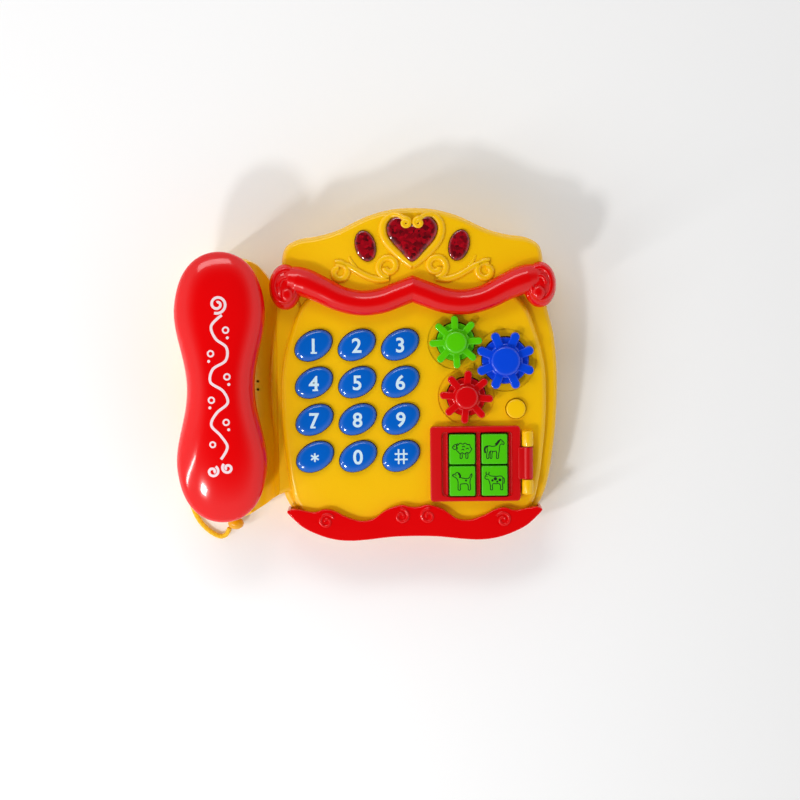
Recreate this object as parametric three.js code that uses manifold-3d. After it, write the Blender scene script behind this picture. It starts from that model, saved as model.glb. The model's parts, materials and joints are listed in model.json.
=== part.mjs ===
// Toy musical telephone: housing with keypad, gears and animal keys, and a handset on its cradle.
// Millimetres. The deck group is the sloping face (z = 0 on the face); the floor group is level.
import * as THREE from 'three';
import { mergeVertices } from 'three/addons/utils/BufferGeometryUtils.js';
import Module from 'manifold-3d';

const wasm = await Module();
wasm.setup();

// ---------- overall sizes ----------
const slope = THREE.MathUtils.degToRad(6); // the face rises towards the crown
const faceHeight = 36; // face plane above the table, at the middle of the housing
const halfWidth = 88.4; // widest half width of the housing
const frontDepth = 98.4; // from the middle to the front edge
const crownDepth = 101.5; // from the middle to the top of the crown
const handsetLength = 165;
const handsetHalfWidth = 28.6;
const drawn = { halfWidth: 88.4, frontDepth: 98.4, crownDepth: 101.5, handsetLength: 165 }; // of the outlines

// ---------- walls and clearances ----------
const wall = 2.4;
const gap = 0.3; // between pieces that rest on or beside each other
const keyGap = 0.45; // around a key in its well
const seam = -16; // parting plane of the housing
const shoulder = 5; // the face stands this much above the side shoulder
const footHeight = 2.5;

// ---------- keys ----------
const keyColumns = [-61, -34.5, -8];
const keyRows = [19.1, -3.8, -26.7, -49.6];
const keyNames = ['1', '2', '3', '4', '5', '6', '7', '8', '9', 'function', '0', 'hash'];
const keyLong = 12.2; // half of the oval's long axis
const keyShort = 8.5;
const keyTurn = THREE.MathUtils.degToRad(30);
const keyTop = 4.2;
const flangeWidth = 1.2;
const flangeThickness = 1.4;
const lensLip = 0.5; // how far a lens reaches behind the edge of its hole

const animalNames = ['sheep', 'horse', 'dog', 'cow'];
const animalColumns = [29.4, 49.2];
const animalRows = [-45.3, -64.9];
const animalWidth = 15.8;
const animalDepth = 18.4;
const animalTop = 6.2;

const roundButtonAt = [62.7, -21.1];
const roundButtonRadius = 6;
const roundButtonTop = 2.8;
const roundButtonRim = 1.6;

// ---------- key surround, hinged on its right ----------
const surround = { left: 9.8, right: 65.2, front: -77.7, back: -31.3, top: 5 };
const windowGap = 0.9;
const hinge = { x: 69.6, z: 4, radius: 3.3, pinRadius: 1.1, front: -73.6, back: -34.4 };
const tab = { front: -63.9, back: -44.4, thickness: 3 };

// ---------- gears ----------
const teeth = 8;
const gears = {
  green: { x: 26, y: 20.6, tip: 16.2, root: 11.6, hub: 6.8 },
  blue: { x: 56.3, y: 8.9, tip: 18.4, root: 14.2, hub: 8.9 },
  red: { x: 32.3, y: -13.2, tip: 16.4, root: 11.8, hub: 7.2 },
};
const bluePhase = 22.5; // degrees; the green and red gears take theirs from it
const toothHalfWidth = 2.1;
const gearLift = 1.0;
const gearThickness = 4.6;
const hubHeight = 3.4;
const recessDepth = 1;
const recessRadius = { green: 17.2, blue: 19.4, red: 17.4 };
const pinRadius = 2.2;
const boreClearance = 0.3;

// ---------- cradle and handset ----------
const edgeRounds = { skirt: 3, face: 3.5, crown: 2.5 };
const cradle = { top: -3.5, round: 3 };
const valley = { offset: 24.5, radius: 11, depth: 5 }; // groove between the handset and the face
const handsetAt = { x: -(halfWidth + handsetHalfWidth), y: -5 };
const lengthScale = handsetLength / drawn.handsetLength;
const cups = { rear: 46, front: -50, radius: 14.5, depth: 3.5 }; // along the handset, from its middle
const capRadius = 13.4;
const handset = { waist: 20.6, parting: 14.5, crest: 29, belly: 2.8, arch: 13 };
const archHalfLength = 27;
const plunger = { radius: 3.5, offset: 46 };
const grilleHole = 1.1;
const grillePitch = 5;
const speaker = { radius: 13.5, height: 8, dy: -2 };

// ---------- cord and its anchor ----------
const cordDiameter = 3;
const cordSides = 8;
const cordSteps = 22;
const cordPoints = [
  [0.8, -88.9, 6], [-0.1, -91.4, 4.8], [-2, -93.6, 3.2], [-4.9, -94.5, 2],
  [-8.6, -93.2, 1.7], [-12.7, -90.4, 1.7], [-16.4, -86.8, 1.7], [-19.6, -82.2, 1.7],
  [-22.4, -75.6, 1.7], [-24, -66.5, 1.7], [-24.4, -55, 2.2], [-23.7, -44.5, 5],
  [-22.5, -38, 10], [-21.4, -35.8, 15.4], [-20.8, -34.9, 20.6], [-20.6, -34.6, 25.6],
].map(([dx, dy, z]) => [handsetAt.x + dx, handsetAt.y + dy * lengthScale, z]); // from the handset's middle
const glandRadius = 3.4;
const anchor = {
  x: handsetAt.x + 5.5, y: handsetAt.y - 83.6 * lengthScale, belowSeam: 3.63, radius: 4.2, stem: 2.6, reach: 13,
};
const seamAtAnchor = faceHeight + seam * Math.cos(slope) + anchor.y * Math.sin(slope);
anchor.z = seamAtAnchor - anchor.belowSeam;

// ---------- inside ----------
const membrane = { top: -6.7, thickness: 1.2 };
const board = { top: -8.3, thickness: 1.6 };
const battery = { radius: 7.1, length: 49, y: 42 };
const door = { width: 62, depth: 40, thickness: 2.2 };
const screwRadius = 1.4;
const screwHead = 2.9;
const bossRadius = 4.4;
const screwSpots = [[-60, 62], [60, 62], [-66, -72], [66, -84]];
const footSpots = [[-112, 58], [56, 76], [-116, -66], [44, -84]];
const footRadius = 5.5;

// ---------- finishes ----------
const yellow = { color: 0xf7c400, roughness: 0.35 };
const red = { color: 0xd80008, roughness: 0.25 };
const blue = { color: 0x0a50c4, roughness: 0.25 };
const green = { color: 0x4cc400, roughness: 0.3 };
const ruby = { color: 0x8a0010, roughness: 0.1 };
const steel = { color: 0xb8bcc0, roughness: 0.35, metalness: 1 };
const boardGreen = { color: 0x1c6b3a, roughness: 0.6 };
const softGrey = { color: 0x9a9a96, roughness: 0.8 };
const darkGrey = { color: 0x2a2a2c, roughness: 0.7 };

// ---------- solids ----------
function solidOf(geometry) {
  const bare = geometry.index ? geometry.toNonIndexed() : geometry.clone();
  bare.deleteAttribute('normal');
  bare.deleteAttribute('uv');
  const merged = mergeVertices(bare, 1e-4);
  const corners = merged.index.array;
  const kept = [];
  for (let i = 0; i < corners.length; i += 3) {
    const [a, b, c] = [corners[i], corners[i + 1], corners[i + 2]];
    if (a !== b && b !== c && a !== c) kept.push(a, b, c);
  }
  const vertProperties = new Float32Array(merged.attributes.position.array);
  return new wasm.Manifold(new wasm.Mesh({ numProp: 3, vertProperties, triVerts: new Uint32Array(kept) }));
}

function geometryOf(solid) {
  const mesh = solid.getMesh();
  const geometry = new THREE.BufferGeometry();
  geometry.setAttribute('position', new THREE.BufferAttribute(mesh.vertProperties, 3));
  geometry.setIndex(new THREE.BufferAttribute(mesh.triVerts, 1));
  geometry.computeVertexNormals();
  return geometry;
}

function joinAll(solids) {
  return solids.reduce((sum, next) => sum.add(next));
}

const up = [0, 0, 1];
const levelInDeck = [0, Math.sin(slope), Math.cos(slope)];

function above(solid, z) {
  return solid.trimByPlane(up, z);
}

function aboveLevel(solid, height) {
  return solid.trimByPlane(levelInDeck, height - faceHeight);
}

// A prism of a loop of points from low to high, its upper edge rounded over `round`.
function prism(loop, low, high, round = 0, steps = 3) {
  const shape = new THREE.Shape(loop);
  if (round === 0) {
    const plain = new THREE.ExtrudeGeometry(shape, { depth: high - low, bevelEnabled: false });
    return solidOf(plain.translate(0, 0, low));
  }
  const rounded = new THREE.ExtrudeGeometry(shape, {
    depth: high - low,
    bevelThickness: round,
    bevelSize: round,
    bevelOffset: -round,
    bevelSegments: steps,
  });
  return above(solidOf(rounded.translate(0, 0, low - round)), low);
}

function rod(radius, low, high, x = 0, y = 0, sides = 20) {
  const geometry = new THREE.CylinderGeometry(radius, radius, high - low, sides);
  return solidOf(geometry.rotateX(Math.PI / 2).translate(x, y, (low + high) / 2));
}

function box(x0, x1, y0, y1, z0, z1) {
  const geometry = new THREE.BoxGeometry(x1 - x0, y1 - y0, z1 - z0);
  return solidOf(geometry.translate((x0 + x1) / 2, (y0 + y1) / 2, (z0 + z1) / 2));
}

// ---------- outlines ----------
function smoothLoop(points, count) {
  const spots = points.map(([x, y]) => new THREE.Vector3(x, y, 0));
  const curve = new THREE.CatmullRomCurve3(spots, true, 'centripetal');
  return curve.getSpacedPoints(count).slice(0, count).map((p) => new THREE.Vector2(p.x, p.y));
}

// Right half of a symmetrical outline, from the front to the back; points on the axis are not repeated.
function mirrored(half) {
  const left = half.filter(([x]) => x > 0).map(([x, y]) => [-x, y]);
  return [...half, ...left.reverse()];
}

function offsetLoop(loop, distance) {
  return loop.map((point, i) => {
    const before = loop[(i + loop.length - 1) % loop.length];
    const after = loop[(i + 1) % loop.length];
    const along = after.clone().sub(before).normalize();
    return new THREE.Vector2(point.x + along.y * distance, point.y - along.x * distance);
  });
}

function ovalLoop(x, y, long, short, turn, count = 14) {
  const oval = new THREE.EllipseCurve(x, y, long, short, 0, Math.PI * 2, false, turn);
  return oval.getPoints(count).slice(0, count);
}

function roundedBox(x0, x1, y0, y1, radius) {
  const corner = 2; // segments of each corner
  const loop = [];
  const centres = [[x1 - radius, y0 + radius], [x1 - radius, y1 - radius], [x0 + radius, y1 - radius],
    [x0 + radius, y0 + radius]];
  centres.forEach(([cx, cy], quarter) => {
    for (let i = 0; i <= corner; i += 1) {
      const angle = (quarter - 1 + i / corner) * (Math.PI / 2);
      loop.push(new THREE.Vector2(cx + radius * Math.cos(angle), cy + radius * Math.sin(angle)));
    }
  });
  return loop;
}

const sideScale = halfWidth / drawn.halfWidth;
const frontScale = frontDepth / drawn.frontDepth;
const backScale = crownDepth / drawn.crownDepth;

function scaled(points) {
  return points.map(([x, y]) => [x * sideScale, y * (y < 0 ? frontScale : backScale)]);
}

const bodyLoop = smoothLoop(mirrored(scaled([
  [0, -95.2], [14, -95.8], [30, -97.8], [39.7, -98.4], [57, -95], [70, -88.5], [77, -81],
  [82, -68.8], [85.7, -47.9], [88.1, -23.8], [88.4, 3.6], [86.4, 24.4], [82.5, 40.5], [79.6, 55],
  [79.9, 71], [77.4, 79], [70, 83.4], [58, 85.4], [46, 88.8], [27, 97.5], [11, 101.5],
])), 64);

const faceLoop = smoothLoop(mirrored(scaled([
  [0, -91], [40, -93.5], [62, -90], [72.8, -80.1], [77, -65], [79.4, -47.9], [81.4, -23.8], [80.9, 3.6],
  [76, 24.4], [68, 43.8], [58, 52], [30, 56], [0, 57],
])), 44);

const heartLoop = smoothLoop([
  [0, 69.7], [8, 77.2], [14.2, 85], [15.2, 91.5], [10.6, 96.8], [4.6, 96.2], [0, 92.4],
  [-4.6, 96.2], [-10.6, 96.8], [-15.2, 91.5], [-14.2, 85], [-8, 77.2],
], 24);

const lensOvals = { left: [-28.5, 79.5, 105], right: [28.5, 79.5, 75] };
const lensLong = 9.5;
const lensShort = 6.2;

function lensLoop(side) {
  const [x, y, turn] = lensOvals[side];
  return ovalLoop(x, y, lensLong, lensShort, THREE.MathUtils.degToRad(turn), 14);
}

const keySpots = keyNames.map((name, i) => [name, keyColumns[i % 3], keyRows[Math.floor(i / 3)]]);

function keyLoop(x, y, grow = 0) {
  return ovalLoop(x, y, keyLong + grow, keyShort + grow, keyTurn);
}

// The animal keys stand in two columns, each pair in one well, with flanges at their sides only.
const animalSpots = animalNames.map((name, i) => {
  const row = Math.floor(i / 2);
  return [name, animalColumns[i % 2], animalRows[row]];
});

function animalBox(grow = 0) {
  const w = animalWidth / 2 + grow;
  const d = animalDepth / 2;
  return roundedBox(-w, w, -d, d, 1);
}

function columnBox(x, grow) {
  const w = animalWidth / 2 + grow;
  const d = animalDepth / 2 + grow;
  return roundedBox(x - w, x + w, animalRows[1] - d, animalRows[0] + d, 1);
}

// The cradle wing follows the handset's outline, and runs into the housing on the right.
const cradleLoop = smoothLoop([
  [47, -67], [47, 55], [33, 59.5], [27, 67], [21, 73.5], [11, 77.5], [0, 78], [-10, 74.5], [-15.5, 65],
  [-16.5, 45], [-16.5, -5], [-16.5, -55], [-14, -70], [-7, -79], [3, -82.5], [12.5, -82], [20, -77.8],
  [24.6, -75], [31, -70.2], [38, -67.5],
].map(([dx, dy]) => [handsetAt.x + dx, handsetAt.y + dy * lengthScale]), 48);

// ---------- handset: a rounded bar, wide at both ends, arched underneath ----------
function handsetHalf(t) {
  const bulge = 0.5 - 0.5 * Math.cos(Math.PI * Math.min(1, Math.abs(t) / 0.62));
  const wide = handset.waist + (handsetHalfWidth - handset.waist) * bulge;
  return wide * (1 - Math.abs(t) ** 5) ** 0.5;
}

function handsetTopAt(t) {
  return handset.parting + (handset.crest - 6 * t * t - handset.parting) * (1 - Math.abs(t) ** 6) ** 0.5;
}

function handsetBottomAt(t) {
  return handset.parting - (handset.parting + handset.belly) * (1 - Math.abs(t) ** 8) ** 0.5;
}

function squircle(value, power) {
  return Math.sign(value) * Math.abs(value) ** power;
}

function handsetBody(inset) {
  const geometry = new THREE.SphereGeometry(1, 20, 14).rotateX(Math.PI / 2);
  const position = geometry.attributes.position;
  const half = handsetLength / 2;
  for (let i = 0; i < position.count; i += 1) {
    // the sphere's poles lie along the handset
    const latitude = THREE.MathUtils.clamp(position.getY(i), -1, 1);
    const ring = Math.sqrt(Math.max(0, 1 - latitude * latitude));
    const across = ring > 1e-6 ? position.getX(i) / ring : 0;
    const rise = ring > 1e-6 ? position.getZ(i) / ring : 0;
    const t = Math.sin((Math.asin(latitude) * 2) / Math.PI * (Math.PI / 2));
    const side = Math.max(0, handsetHalf(t) - inset);
    const roof = Math.max(0, handsetTopAt(t) - handset.parting - inset);
    const base = Math.max(0, handset.parting - handsetBottomAt(t) - inset);
    const pole = ring > 1e-6 ? 1 : 0;
    const x = squircle(across, 0.85) * side * pole;
    const z = squircle(rise, 0.85) * (rise > 0 ? roof : base) * pole;
    position.setXYZ(i, handsetAt.x + x, handsetAt.y + t * (half - inset), handset.parting + z);
  }
  return solidOf(geometry);
}

// The finger space under the handle: a wide arch with rounded shoulders.
function archCut(grow) {
  const reach = archHalfLength + grow;
  const low = -handset.belly - 20;
  const top = handset.arch - handset.belly + grow;
  const shape = new THREE.Shape();
  shape.moveTo(-reach - 6, low);
  shape.lineTo(reach + 6, low);
  shape.lineTo(reach + 4, -handset.belly + 2);
  shape.quadraticCurveTo(reach, top, reach - 14, top);
  shape.lineTo(-reach + 14, top);
  shape.quadraticCurveTo(-reach, top, -reach - 4, -handset.belly + 2);
  const depth = handsetHalfWidth * 2 + 20;
  const cut = new THREE.ExtrudeGeometry(shape, { depth, bevelEnabled: false, curveSegments: 5 });
  cut.rotateX(Math.PI / 2).rotateZ(Math.PI / 2);
  return solidOf(cut.translate(handsetAt.x - depth / 2, handsetAt.y, 0));
}

const handsetPads = [cups.rear, cups.front];
const capBottom = cradle.top - cups.depth + gap;

function handsetSolids() {
  const outside = handsetBody(0).subtract(archCut(0));
  const inside = handsetBody(wall).subtract(archCut(wall));
  const shell = outside.subtract(inside);
  const upper = above(shell, handset.parting + gap / 2);
  const caps = handsetPads.map((dy) => rod(capRadius, capBottom, -1, handsetAt.x, handsetAt.y + dy, 20));
  const lowerShell = shell.trimByPlane([0, 0, -1], -(handset.parting - gap / 2));
  const capHoles = handsetPads.map((dy) => {
    return rod(capRadius - wall, -1 - wall, 2, handsetAt.x, handsetAt.y + dy, 16);
  });
  const [gx, gy, gz] = glandSpot();
  const gland = rod(glandRadius, gz + gap, handset.parting - 6, gx, gy, 12);
  let lower = joinAll([lowerShell, ...caps]);
  lower = capHoles.reduce((solid, hole) => solid.subtract(hole), lower);
  return { upper, lower: lower.add(gland) };
}

// ---------- frames between the level floor and the sloping deck ----------
function toDeck(x, y, z) {
  const risen = z - faceHeight;
  const along = y * Math.cos(slope) + risen * Math.sin(slope);
  return [x, along, risen * Math.cos(slope) - y * Math.sin(slope)];
}

function glandSpot() {
  const [x, y, z] = cordPoints[cordPoints.length - 1];
  return toDeck(x, y, z);
}

// ---------- housing ----------
const bossSpots = screwSpots.map(([x, y]) => [x * sideScale, y * (y < 0 ? frontScale : backScale)]);

const crownStart = 52;
const crownInset = 0.8;

// The outer skin of the top shell, rounded, or its plain inner side when inset by the wall.
function shellSkin(inset) {
  const sharp = { skirt: 0, face: 0, crown: 0, wing: 0 };
  const round = inset > 0 ? sharp : { ...edgeRounds, wing: cradle.round };
  const low = inset > 0 ? seam - 1 : seam;
  const skirt = prism(offsetLoop(bodyLoop, -inset), low, -shoulder - inset, round.skirt, 2);
  const face = prism(offsetLoop(faceLoop, -inset), low, -inset, round.face, 2);
  const crown = prism(offsetLoop(bodyLoop, -crownInset - inset), low, -inset, round.crown, 2);
  const crownOnly = crown.trimByPlane([0, 1, 0], crownStart + inset);
  const wing = prism(offsetLoop(cradleLoop, -inset), low, cradle.top - inset, round.wing, 2);
  return joinAll([skirt, face, crownOnly, wing.subtract(valleyRod(inset))]);
}

function valleyRod(grow) {
  const radius = valley.radius + grow;
  const geometry = new THREE.CylinderGeometry(radius, radius, handsetLength * 1.2, 20);
  const axisHeight = cradle.top - valley.depth + valley.radius;
  return solidOf(geometry.translate(handsetAt.x + valley.offset, handsetAt.y, axisHeight));
}

function cupRods(grow, floor) {
  return handsetPads.map((dy) => rod(cups.radius + grow, floor, 5, handsetAt.x, handsetAt.y + dy, 22));
}

function wells() {
  const through = [-wall - 4, 6];
  const keys = keySpots.map(([, x, y]) => prism(keyLoop(x, y, keyGap), ...through));
  const animals = animalColumns.map((x) => prism(columnBox(x, keyGap), ...through));
  const button = rod(roundButtonRadius + keyGap, ...through, ...roundButtonAt, 20);
  const heart = prism(offsetLoop(heartLoop, gap), ...through);
  const lenses = ['left', 'right'].map((side) => prism(offsetLoop(lensLoop(side), gap), ...through));
  return [...keys, ...animals, button, heart, ...lenses];
}

function gearRecesses() {
  return Object.entries(gears).flatMap(([name, gear]) => [
    rod(recessRadius[name], -recessDepth, 5, gear.x, gear.y, 24),
    rod(pinRadius + gap, -wall - 4, 5, gear.x, gear.y, 12),
  ]);
}

function grille() {
  const holes = [];
  for (let ring = 0; ring < 2; ring += 1) {
    const count = ring === 0 ? 1 : 6;
    for (let i = 0; i < count; i += 1) {
      const angle = (i * Math.PI * 2) / count;
      const x = handsetAt.x + ring * grillePitch * Math.cos(angle);
      const y = handsetAt.y + speaker.dy + ring * grillePitch * Math.sin(angle);
      holes.push(rod(grilleHole, cradle.top - wall - 3, 5, x, y, 6));
    }
  }
  return holes;
}

function hingeRod(radius, front, back, sides = 16) {
  const geometry = new THREE.CylinderGeometry(radius, radius, back - front, sides);
  return solidOf(geometry.translate(hinge.x, (front + back) / 2, hinge.z));
}

function knuckles() {
  const spans = [[hinge.front, tab.front - gap], [tab.back + gap, hinge.back]];
  return spans.flatMap(([front, back]) => [
    hingeRod(hinge.radius + 0.2, front, back),
    box(hinge.x - hinge.radius, hinge.x + hinge.radius, front, back, -1, hinge.z),
  ]);
}

function topShell() {
  let inner = shellSkin(wall);
  cupRods(wall, cradle.top - cups.depth - wall).forEach((cup) => {
    inner = inner.subtract(cup);
  });
  const bosses = bossSpots.map(([x, y]) => rod(bossRadius, seam + gap, -1.5, x, y, 12));
  let shell = joinAll([shellSkin(0).subtract(inner), ...bosses, ...knuckles()]);
  const cuts = [
    ...cupRods(0, cradle.top - cups.depth),
    ...wells(),
    ...gearRecesses(),
    ...grille(),
    ...bossSpots.map(([x, y]) => rod(screwRadius + gap, seam - 1, seam + 10, x, y, 10)),
    rod(plunger.radius + gap, -25, 5, handsetAt.x, handsetAt.y + plunger.offset, 14),
    hingeRod(hinge.pinRadius + gap, hinge.front + 1, hinge.back + 2, 12),
  ];
  cuts.forEach((cut) => {
    shell = shell.subtract(cut);
  });
  return shell;
}

// Upright walls on the level floor that meet the sloping seam of the top shell.
function baseSkin(inset) {
  const walls = [bodyLoop, cradleLoop].map((loop) => offsetLoop(loop, -inset)).map((loop) => {
    const shift = seam * Math.sin(slope);
    const level = loop.map(({ x, y }) => new THREE.Vector2(x, y * Math.cos(slope) - shift));
    const shape = new THREE.Shape(level);
    const geometry = new THREE.ExtrudeGeometry(shape, { depth: faceHeight * 2, bevelEnabled: false });
    return solidOf(geometry.applyMatrix4(levelToDeckMatrix()));
  });
  return joinAll(walls).trimByPlane([0, 0, -1], -(seam - gap + inset));
}

function doorHole(grow) {
  const w = door.width / 2 + grow;
  const d = door.depth / 2 + grow;
  const geometry = new THREE.BoxGeometry(w * 2, d * 2, 20).translate(0, battery.y, 0);
  geometry.applyMatrix4(levelToDeckMatrix());
  return solidOf(geometry);
}

function levelToDeckMatrix() {
  const turned = new THREE.Matrix4().makeRotationX(-slope);
  return turned.multiply(new THREE.Matrix4().makeTranslation(0, 0, -faceHeight));
}

function baseShell() {
  const outer = aboveLevel(baseSkin(0), footHeight);
  const inner = aboveLevel(baseSkin(wall), footHeight + wall);
  const ledge = seam - 3;
  const bosses = bossSpots.map(([x, y]) => rod(bossRadius, -70, seam - gap, x, y, 12));
  const posts = joinAll(bosses).intersect(outer);
  let shell = outer.subtract(inner).add(posts);
  const cuts = bossSpots.flatMap(([x, y]) => [
    rod(screwHead + gap, -80, ledge, x, y, 12),
    rod(screwRadius + gap, -80, seam + 2, x, y, 10),
  ]);
  [...cuts, doorHole(gap), anchorStem(gap)].forEach((cut) => {
    shell = shell.subtract(cut);
  });
  return shell;
}

// ---------- trims ----------
// What the trims rest on: the housing and the cradle wing, grown by the gap.
function shellBlock() {
  const wing = prism(offsetLoop(cradleLoop, gap), -40, cradle.top + gap);
  return prism(offsetLoop(bodyLoop, gap), -40, gap).add(wing);
}

function tube(points, radius, sides, steps) {
  const spots = points.map(([x, y, z]) => new THREE.Vector3(x, y, z));
  const path = new THREE.CatmullRomCurve3(spots, false, 'centripetal');
  const section = new THREE.Shape(ovalLoop(0, 0, radius, radius, 0, sides));
  return new THREE.ExtrudeGeometry(section, { steps, extrudePath: path, bevelEnabled: false });
}

const curtainRadius = 7.8;
const curtainLift = 2.2;
const scrollBall = { x: 77.6, y: 55, rx: 10, ry: 14, rz: 9 };

function ellipsoid(x, y, z, rx, ry, rz, sides = 14) {
  const geometry = new THREE.SphereGeometry(1, sides, Math.round(sides * 0.6)).rotateX(Math.PI / 2);
  return solidOf(geometry.scale(rx, ry, rz).translate(x, y, z));
}

function curtainTrim() {
  const half = [
    [-0.5, 53], [-9, 50], [-19, 46.2], [-31, 44.9], [-44, 48], [-56, 54.5], [-66, 58.5], [-74, 58],
  ];
  const parts = [1, -1].flatMap((side) => {
    const points = half.map(([x, y]) => [-x * side * sideScale, y, curtainLift]);
    const swag = solidOf(tube(points, curtainRadius, 12, 13));
    const { x, y, rx, ry, rz } = scrollBall;
    return [swag, ellipsoid(side * x * sideScale, y, 0.8, rx, ry, rz)];
  });
  const cusp = ellipsoid(0, 53, curtainLift, 6, 8.4, curtainRadius, 12);
  return joinAll([...parts, cusp]).subtract(shellBlock()).trimByPlane(up, -9);
}

const apronLoop = smoothLoop(mirrored(scaled([
  [0, -99.2], [14, -99.6], [30, -101.4], [39.7, -101.9], [49.3, -101], [59, -98], [68.6, -93.2], [75, -87.6],
  [78.6, -83.2], [75.6, -81.6], [70.2, -82.2], [62, -83.6], [55, -81.9], [49, -83.2], [42.9, -86.4],
  [33.2, -89.4], [26, -88.4], [17.2, -82.5], [7.6, -79.8], [2.5, -81],
])), 72);

function apronTrim() {
  return prism(apronLoop, seam + 2, 4.2, 2, 2).subtract(shellBlock());
}

// ---------- keys and buttons ----------
const flangeTop = -wall - gap;

function keySolid(loopAt, top, round) {
  const cap = prism(loopAt(0), flangeTop - flangeThickness, top, round, 2);
  const flange = prism(loopAt(keyGap + flangeWidth), flangeTop - flangeThickness, flangeTop);
  return cap.add(flange);
}

function ovalKey() {
  return keySolid((grow) => keyLoop(0, 0, grow), keyTop, 3.2);
}

function animalKey() {
  return keySolid(animalBox, animalTop, 0.8);
}

function roundButton() {
  const circle = (grow) => ovalLoop(0, 0, roundButtonRadius + grow, roundButtonRadius + grow, 0, 18);
  return keySolid(circle, roundButtonTop, roundButtonRim);
}

function lens(loop, top, round) {
  const dome = prism(loop, flangeTop - flangeThickness, top, round, 2);
  return dome.add(prism(offsetLoop(loop, gap + lensLip), flangeTop - flangeThickness, flangeTop));
}

// ---------- key surround ----------
function keySurround() {
  const { left, right, front, back, top } = surround;
  const frame = prism(roundedBox(left, right, front, back, 2), gap, top, 1.2, 2);
  const windows = animalColumns.map((x) => prism(columnBox(x, windowGap), -5, 12));
  const [under, over] = [hinge.z - tab.thickness / 2, hinge.z + tab.thickness / 2];
  const leaf = box(right - 2, hinge.x, tab.front, tab.back, under, over);
  const barrel = hingeRod(hinge.radius, tab.front, tab.back);
  let solid = joinAll([frame, leaf, barrel]);
  windows.forEach((cut) => {
    solid = solid.subtract(cut);
  });
  return solid.subtract(hingeRod(hinge.pinRadius + gap, tab.front - 1, tab.back + 1, 12));
}

// ---------- gears ----------
function gearLoop({ tip, root }, phase) {
  const loop = [];
  const foot = toothHalfWidth * 1.25;
  for (let i = 0; i < teeth; i += 1) {
    const middle = THREE.MathUtils.degToRad(phase) + (i * Math.PI * 2) / teeth;
    const corners = [[root, -foot], [tip - 1.8, -toothHalfWidth], [tip, -toothHalfWidth * 0.45],
      [tip, toothHalfWidth * 0.45], [tip - 1.8, toothHalfWidth], [root, foot]];
    corners.forEach(([out, side]) => {
      const x = out * Math.cos(middle) - side * Math.sin(middle);
      const y = out * Math.sin(middle) + side * Math.cos(middle);
      loop.push(new THREE.Vector2(x, y));
    });
    const valley = middle + Math.PI / teeth;
    loop.push(new THREE.Vector2(root * Math.cos(valley), root * Math.sin(valley)));
  }
  return loop;
}

// A gear's phase puts its gap where the blue gear's tooth is, whatever the line between them.
function gearPhase(name) {
  if (name === 'blue') return bluePhase;
  const { blue: driver, [name]: mate } = gears;
  const line = THREE.MathUtils.radToDeg(Math.atan2(mate.y - driver.y, mate.x - driver.x));
  return 2 * line + 180 - bluePhase + 180 / teeth;
}

function gearSolid(name) {
  const gear = gears[name];
  const top = gearLift + gearThickness;
  const disc = prism(gearLoop(gear, gearPhase(name)), gearLift, top);
  const hub = prism(ovalLoop(0, 0, gear.hub, gear.hub, 0, 18), gearLift, top + hubHeight, 2.2, 2);
  const bore = rod(pinRadius + boreClearance, gearLift - 1, top, 0, 0, 12);
  return disc.add(hub).subtract(bore);
}

function gearPin() {
  const shaft = rod(pinRadius, flangeTop - flangeThickness, gearLift + gearThickness - gap, 0, 0, 12);
  return shaft.add(rod(pinRadius + 2.4, flangeTop - flangeThickness, flangeTop, 0, 0, 12));
}

// ---------- cord anchor ----------
function anchorStem(grow) {
  const [x, y, z] = toDeck(anchor.x, anchor.y, anchor.z);
  const radius = anchor.stem + grow;
  const geometry = new THREE.CylinderGeometry(radius, radius, anchor.reach, 12);
  return solidOf(geometry.translate(x, y + anchor.reach / 2 - 1, z));
}

function anchorSolid() {
  const [x, y, z] = toDeck(anchor.x, anchor.y, anchor.z);
  return ellipsoid(x - 0.5, y - 2.6, z, 5, 3.8, anchor.radius, 12).add(anchorStem(0));
}

// ---------- assembly ----------
const phone = new THREE.Group();
const deck = new THREE.Group();
deck.rotation.x = slope;
deck.position.z = faceHeight;
const floor = new THREE.Group();
phone.add(deck, floor);

function place(parent, name, shape, finish, x = 0, y = 0, z = 0) {
  const geometry = shape.isBufferGeometry ? shape : geometryOf(shape);
  const mesh = new THREE.Mesh(geometry, new THREE.MeshStandardMaterial(finish));
  mesh.name = name;
  mesh.position.set(x, y, z);
  parent.add(mesh);
  return mesh;
}

place(deck, 'top_shell', topShell(), yellow);
place(deck, 'base_shell', baseShell(), yellow);
place(deck, 'curtain_trim', curtainTrim(), red);
place(deck, 'apron_trim', apronTrim(), red);
place(deck, 'heart_lens', lens(heartLoop, 3.6, 2.4), ruby);
place(deck, 'left_lens', lens(lensLoop('left'), 2.6, 1.8), ruby);
place(deck, 'right_lens', lens(lensLoop('right'), 2.6, 1.8), ruby);

keySpots.forEach(([name, x, y]) => place(deck, `key_${name}`, ovalKey(), blue, x, y));
animalSpots.forEach(([name, x, y]) => place(deck, `key_${name}`, animalKey(), green, x, y));
place(deck, 'round_button', roundButton(), yellow, ...roundButtonAt);

place(deck, 'key_surround', keySurround(), red);
place(deck, 'surround_pin', hingeRod(hinge.pinRadius, hinge.front + 1.3, hinge.back - 1, 12), steel);

Object.entries(gears).forEach(([name, gear]) => {
  const finish = { green, blue, red }[name];
  place(deck, `gear_${name}`, gearSolid(name), finish, gear.x, gear.y);
  place(deck, `gear_pin_${name}`, gearPin(), softGrey, gear.x, gear.y);
});

const handsetShells = handsetSolids();
place(deck, 'handset_upper_shell', handsetShells.upper, red);
place(deck, 'handset_lower_shell', handsetShells.lower, red);

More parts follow.
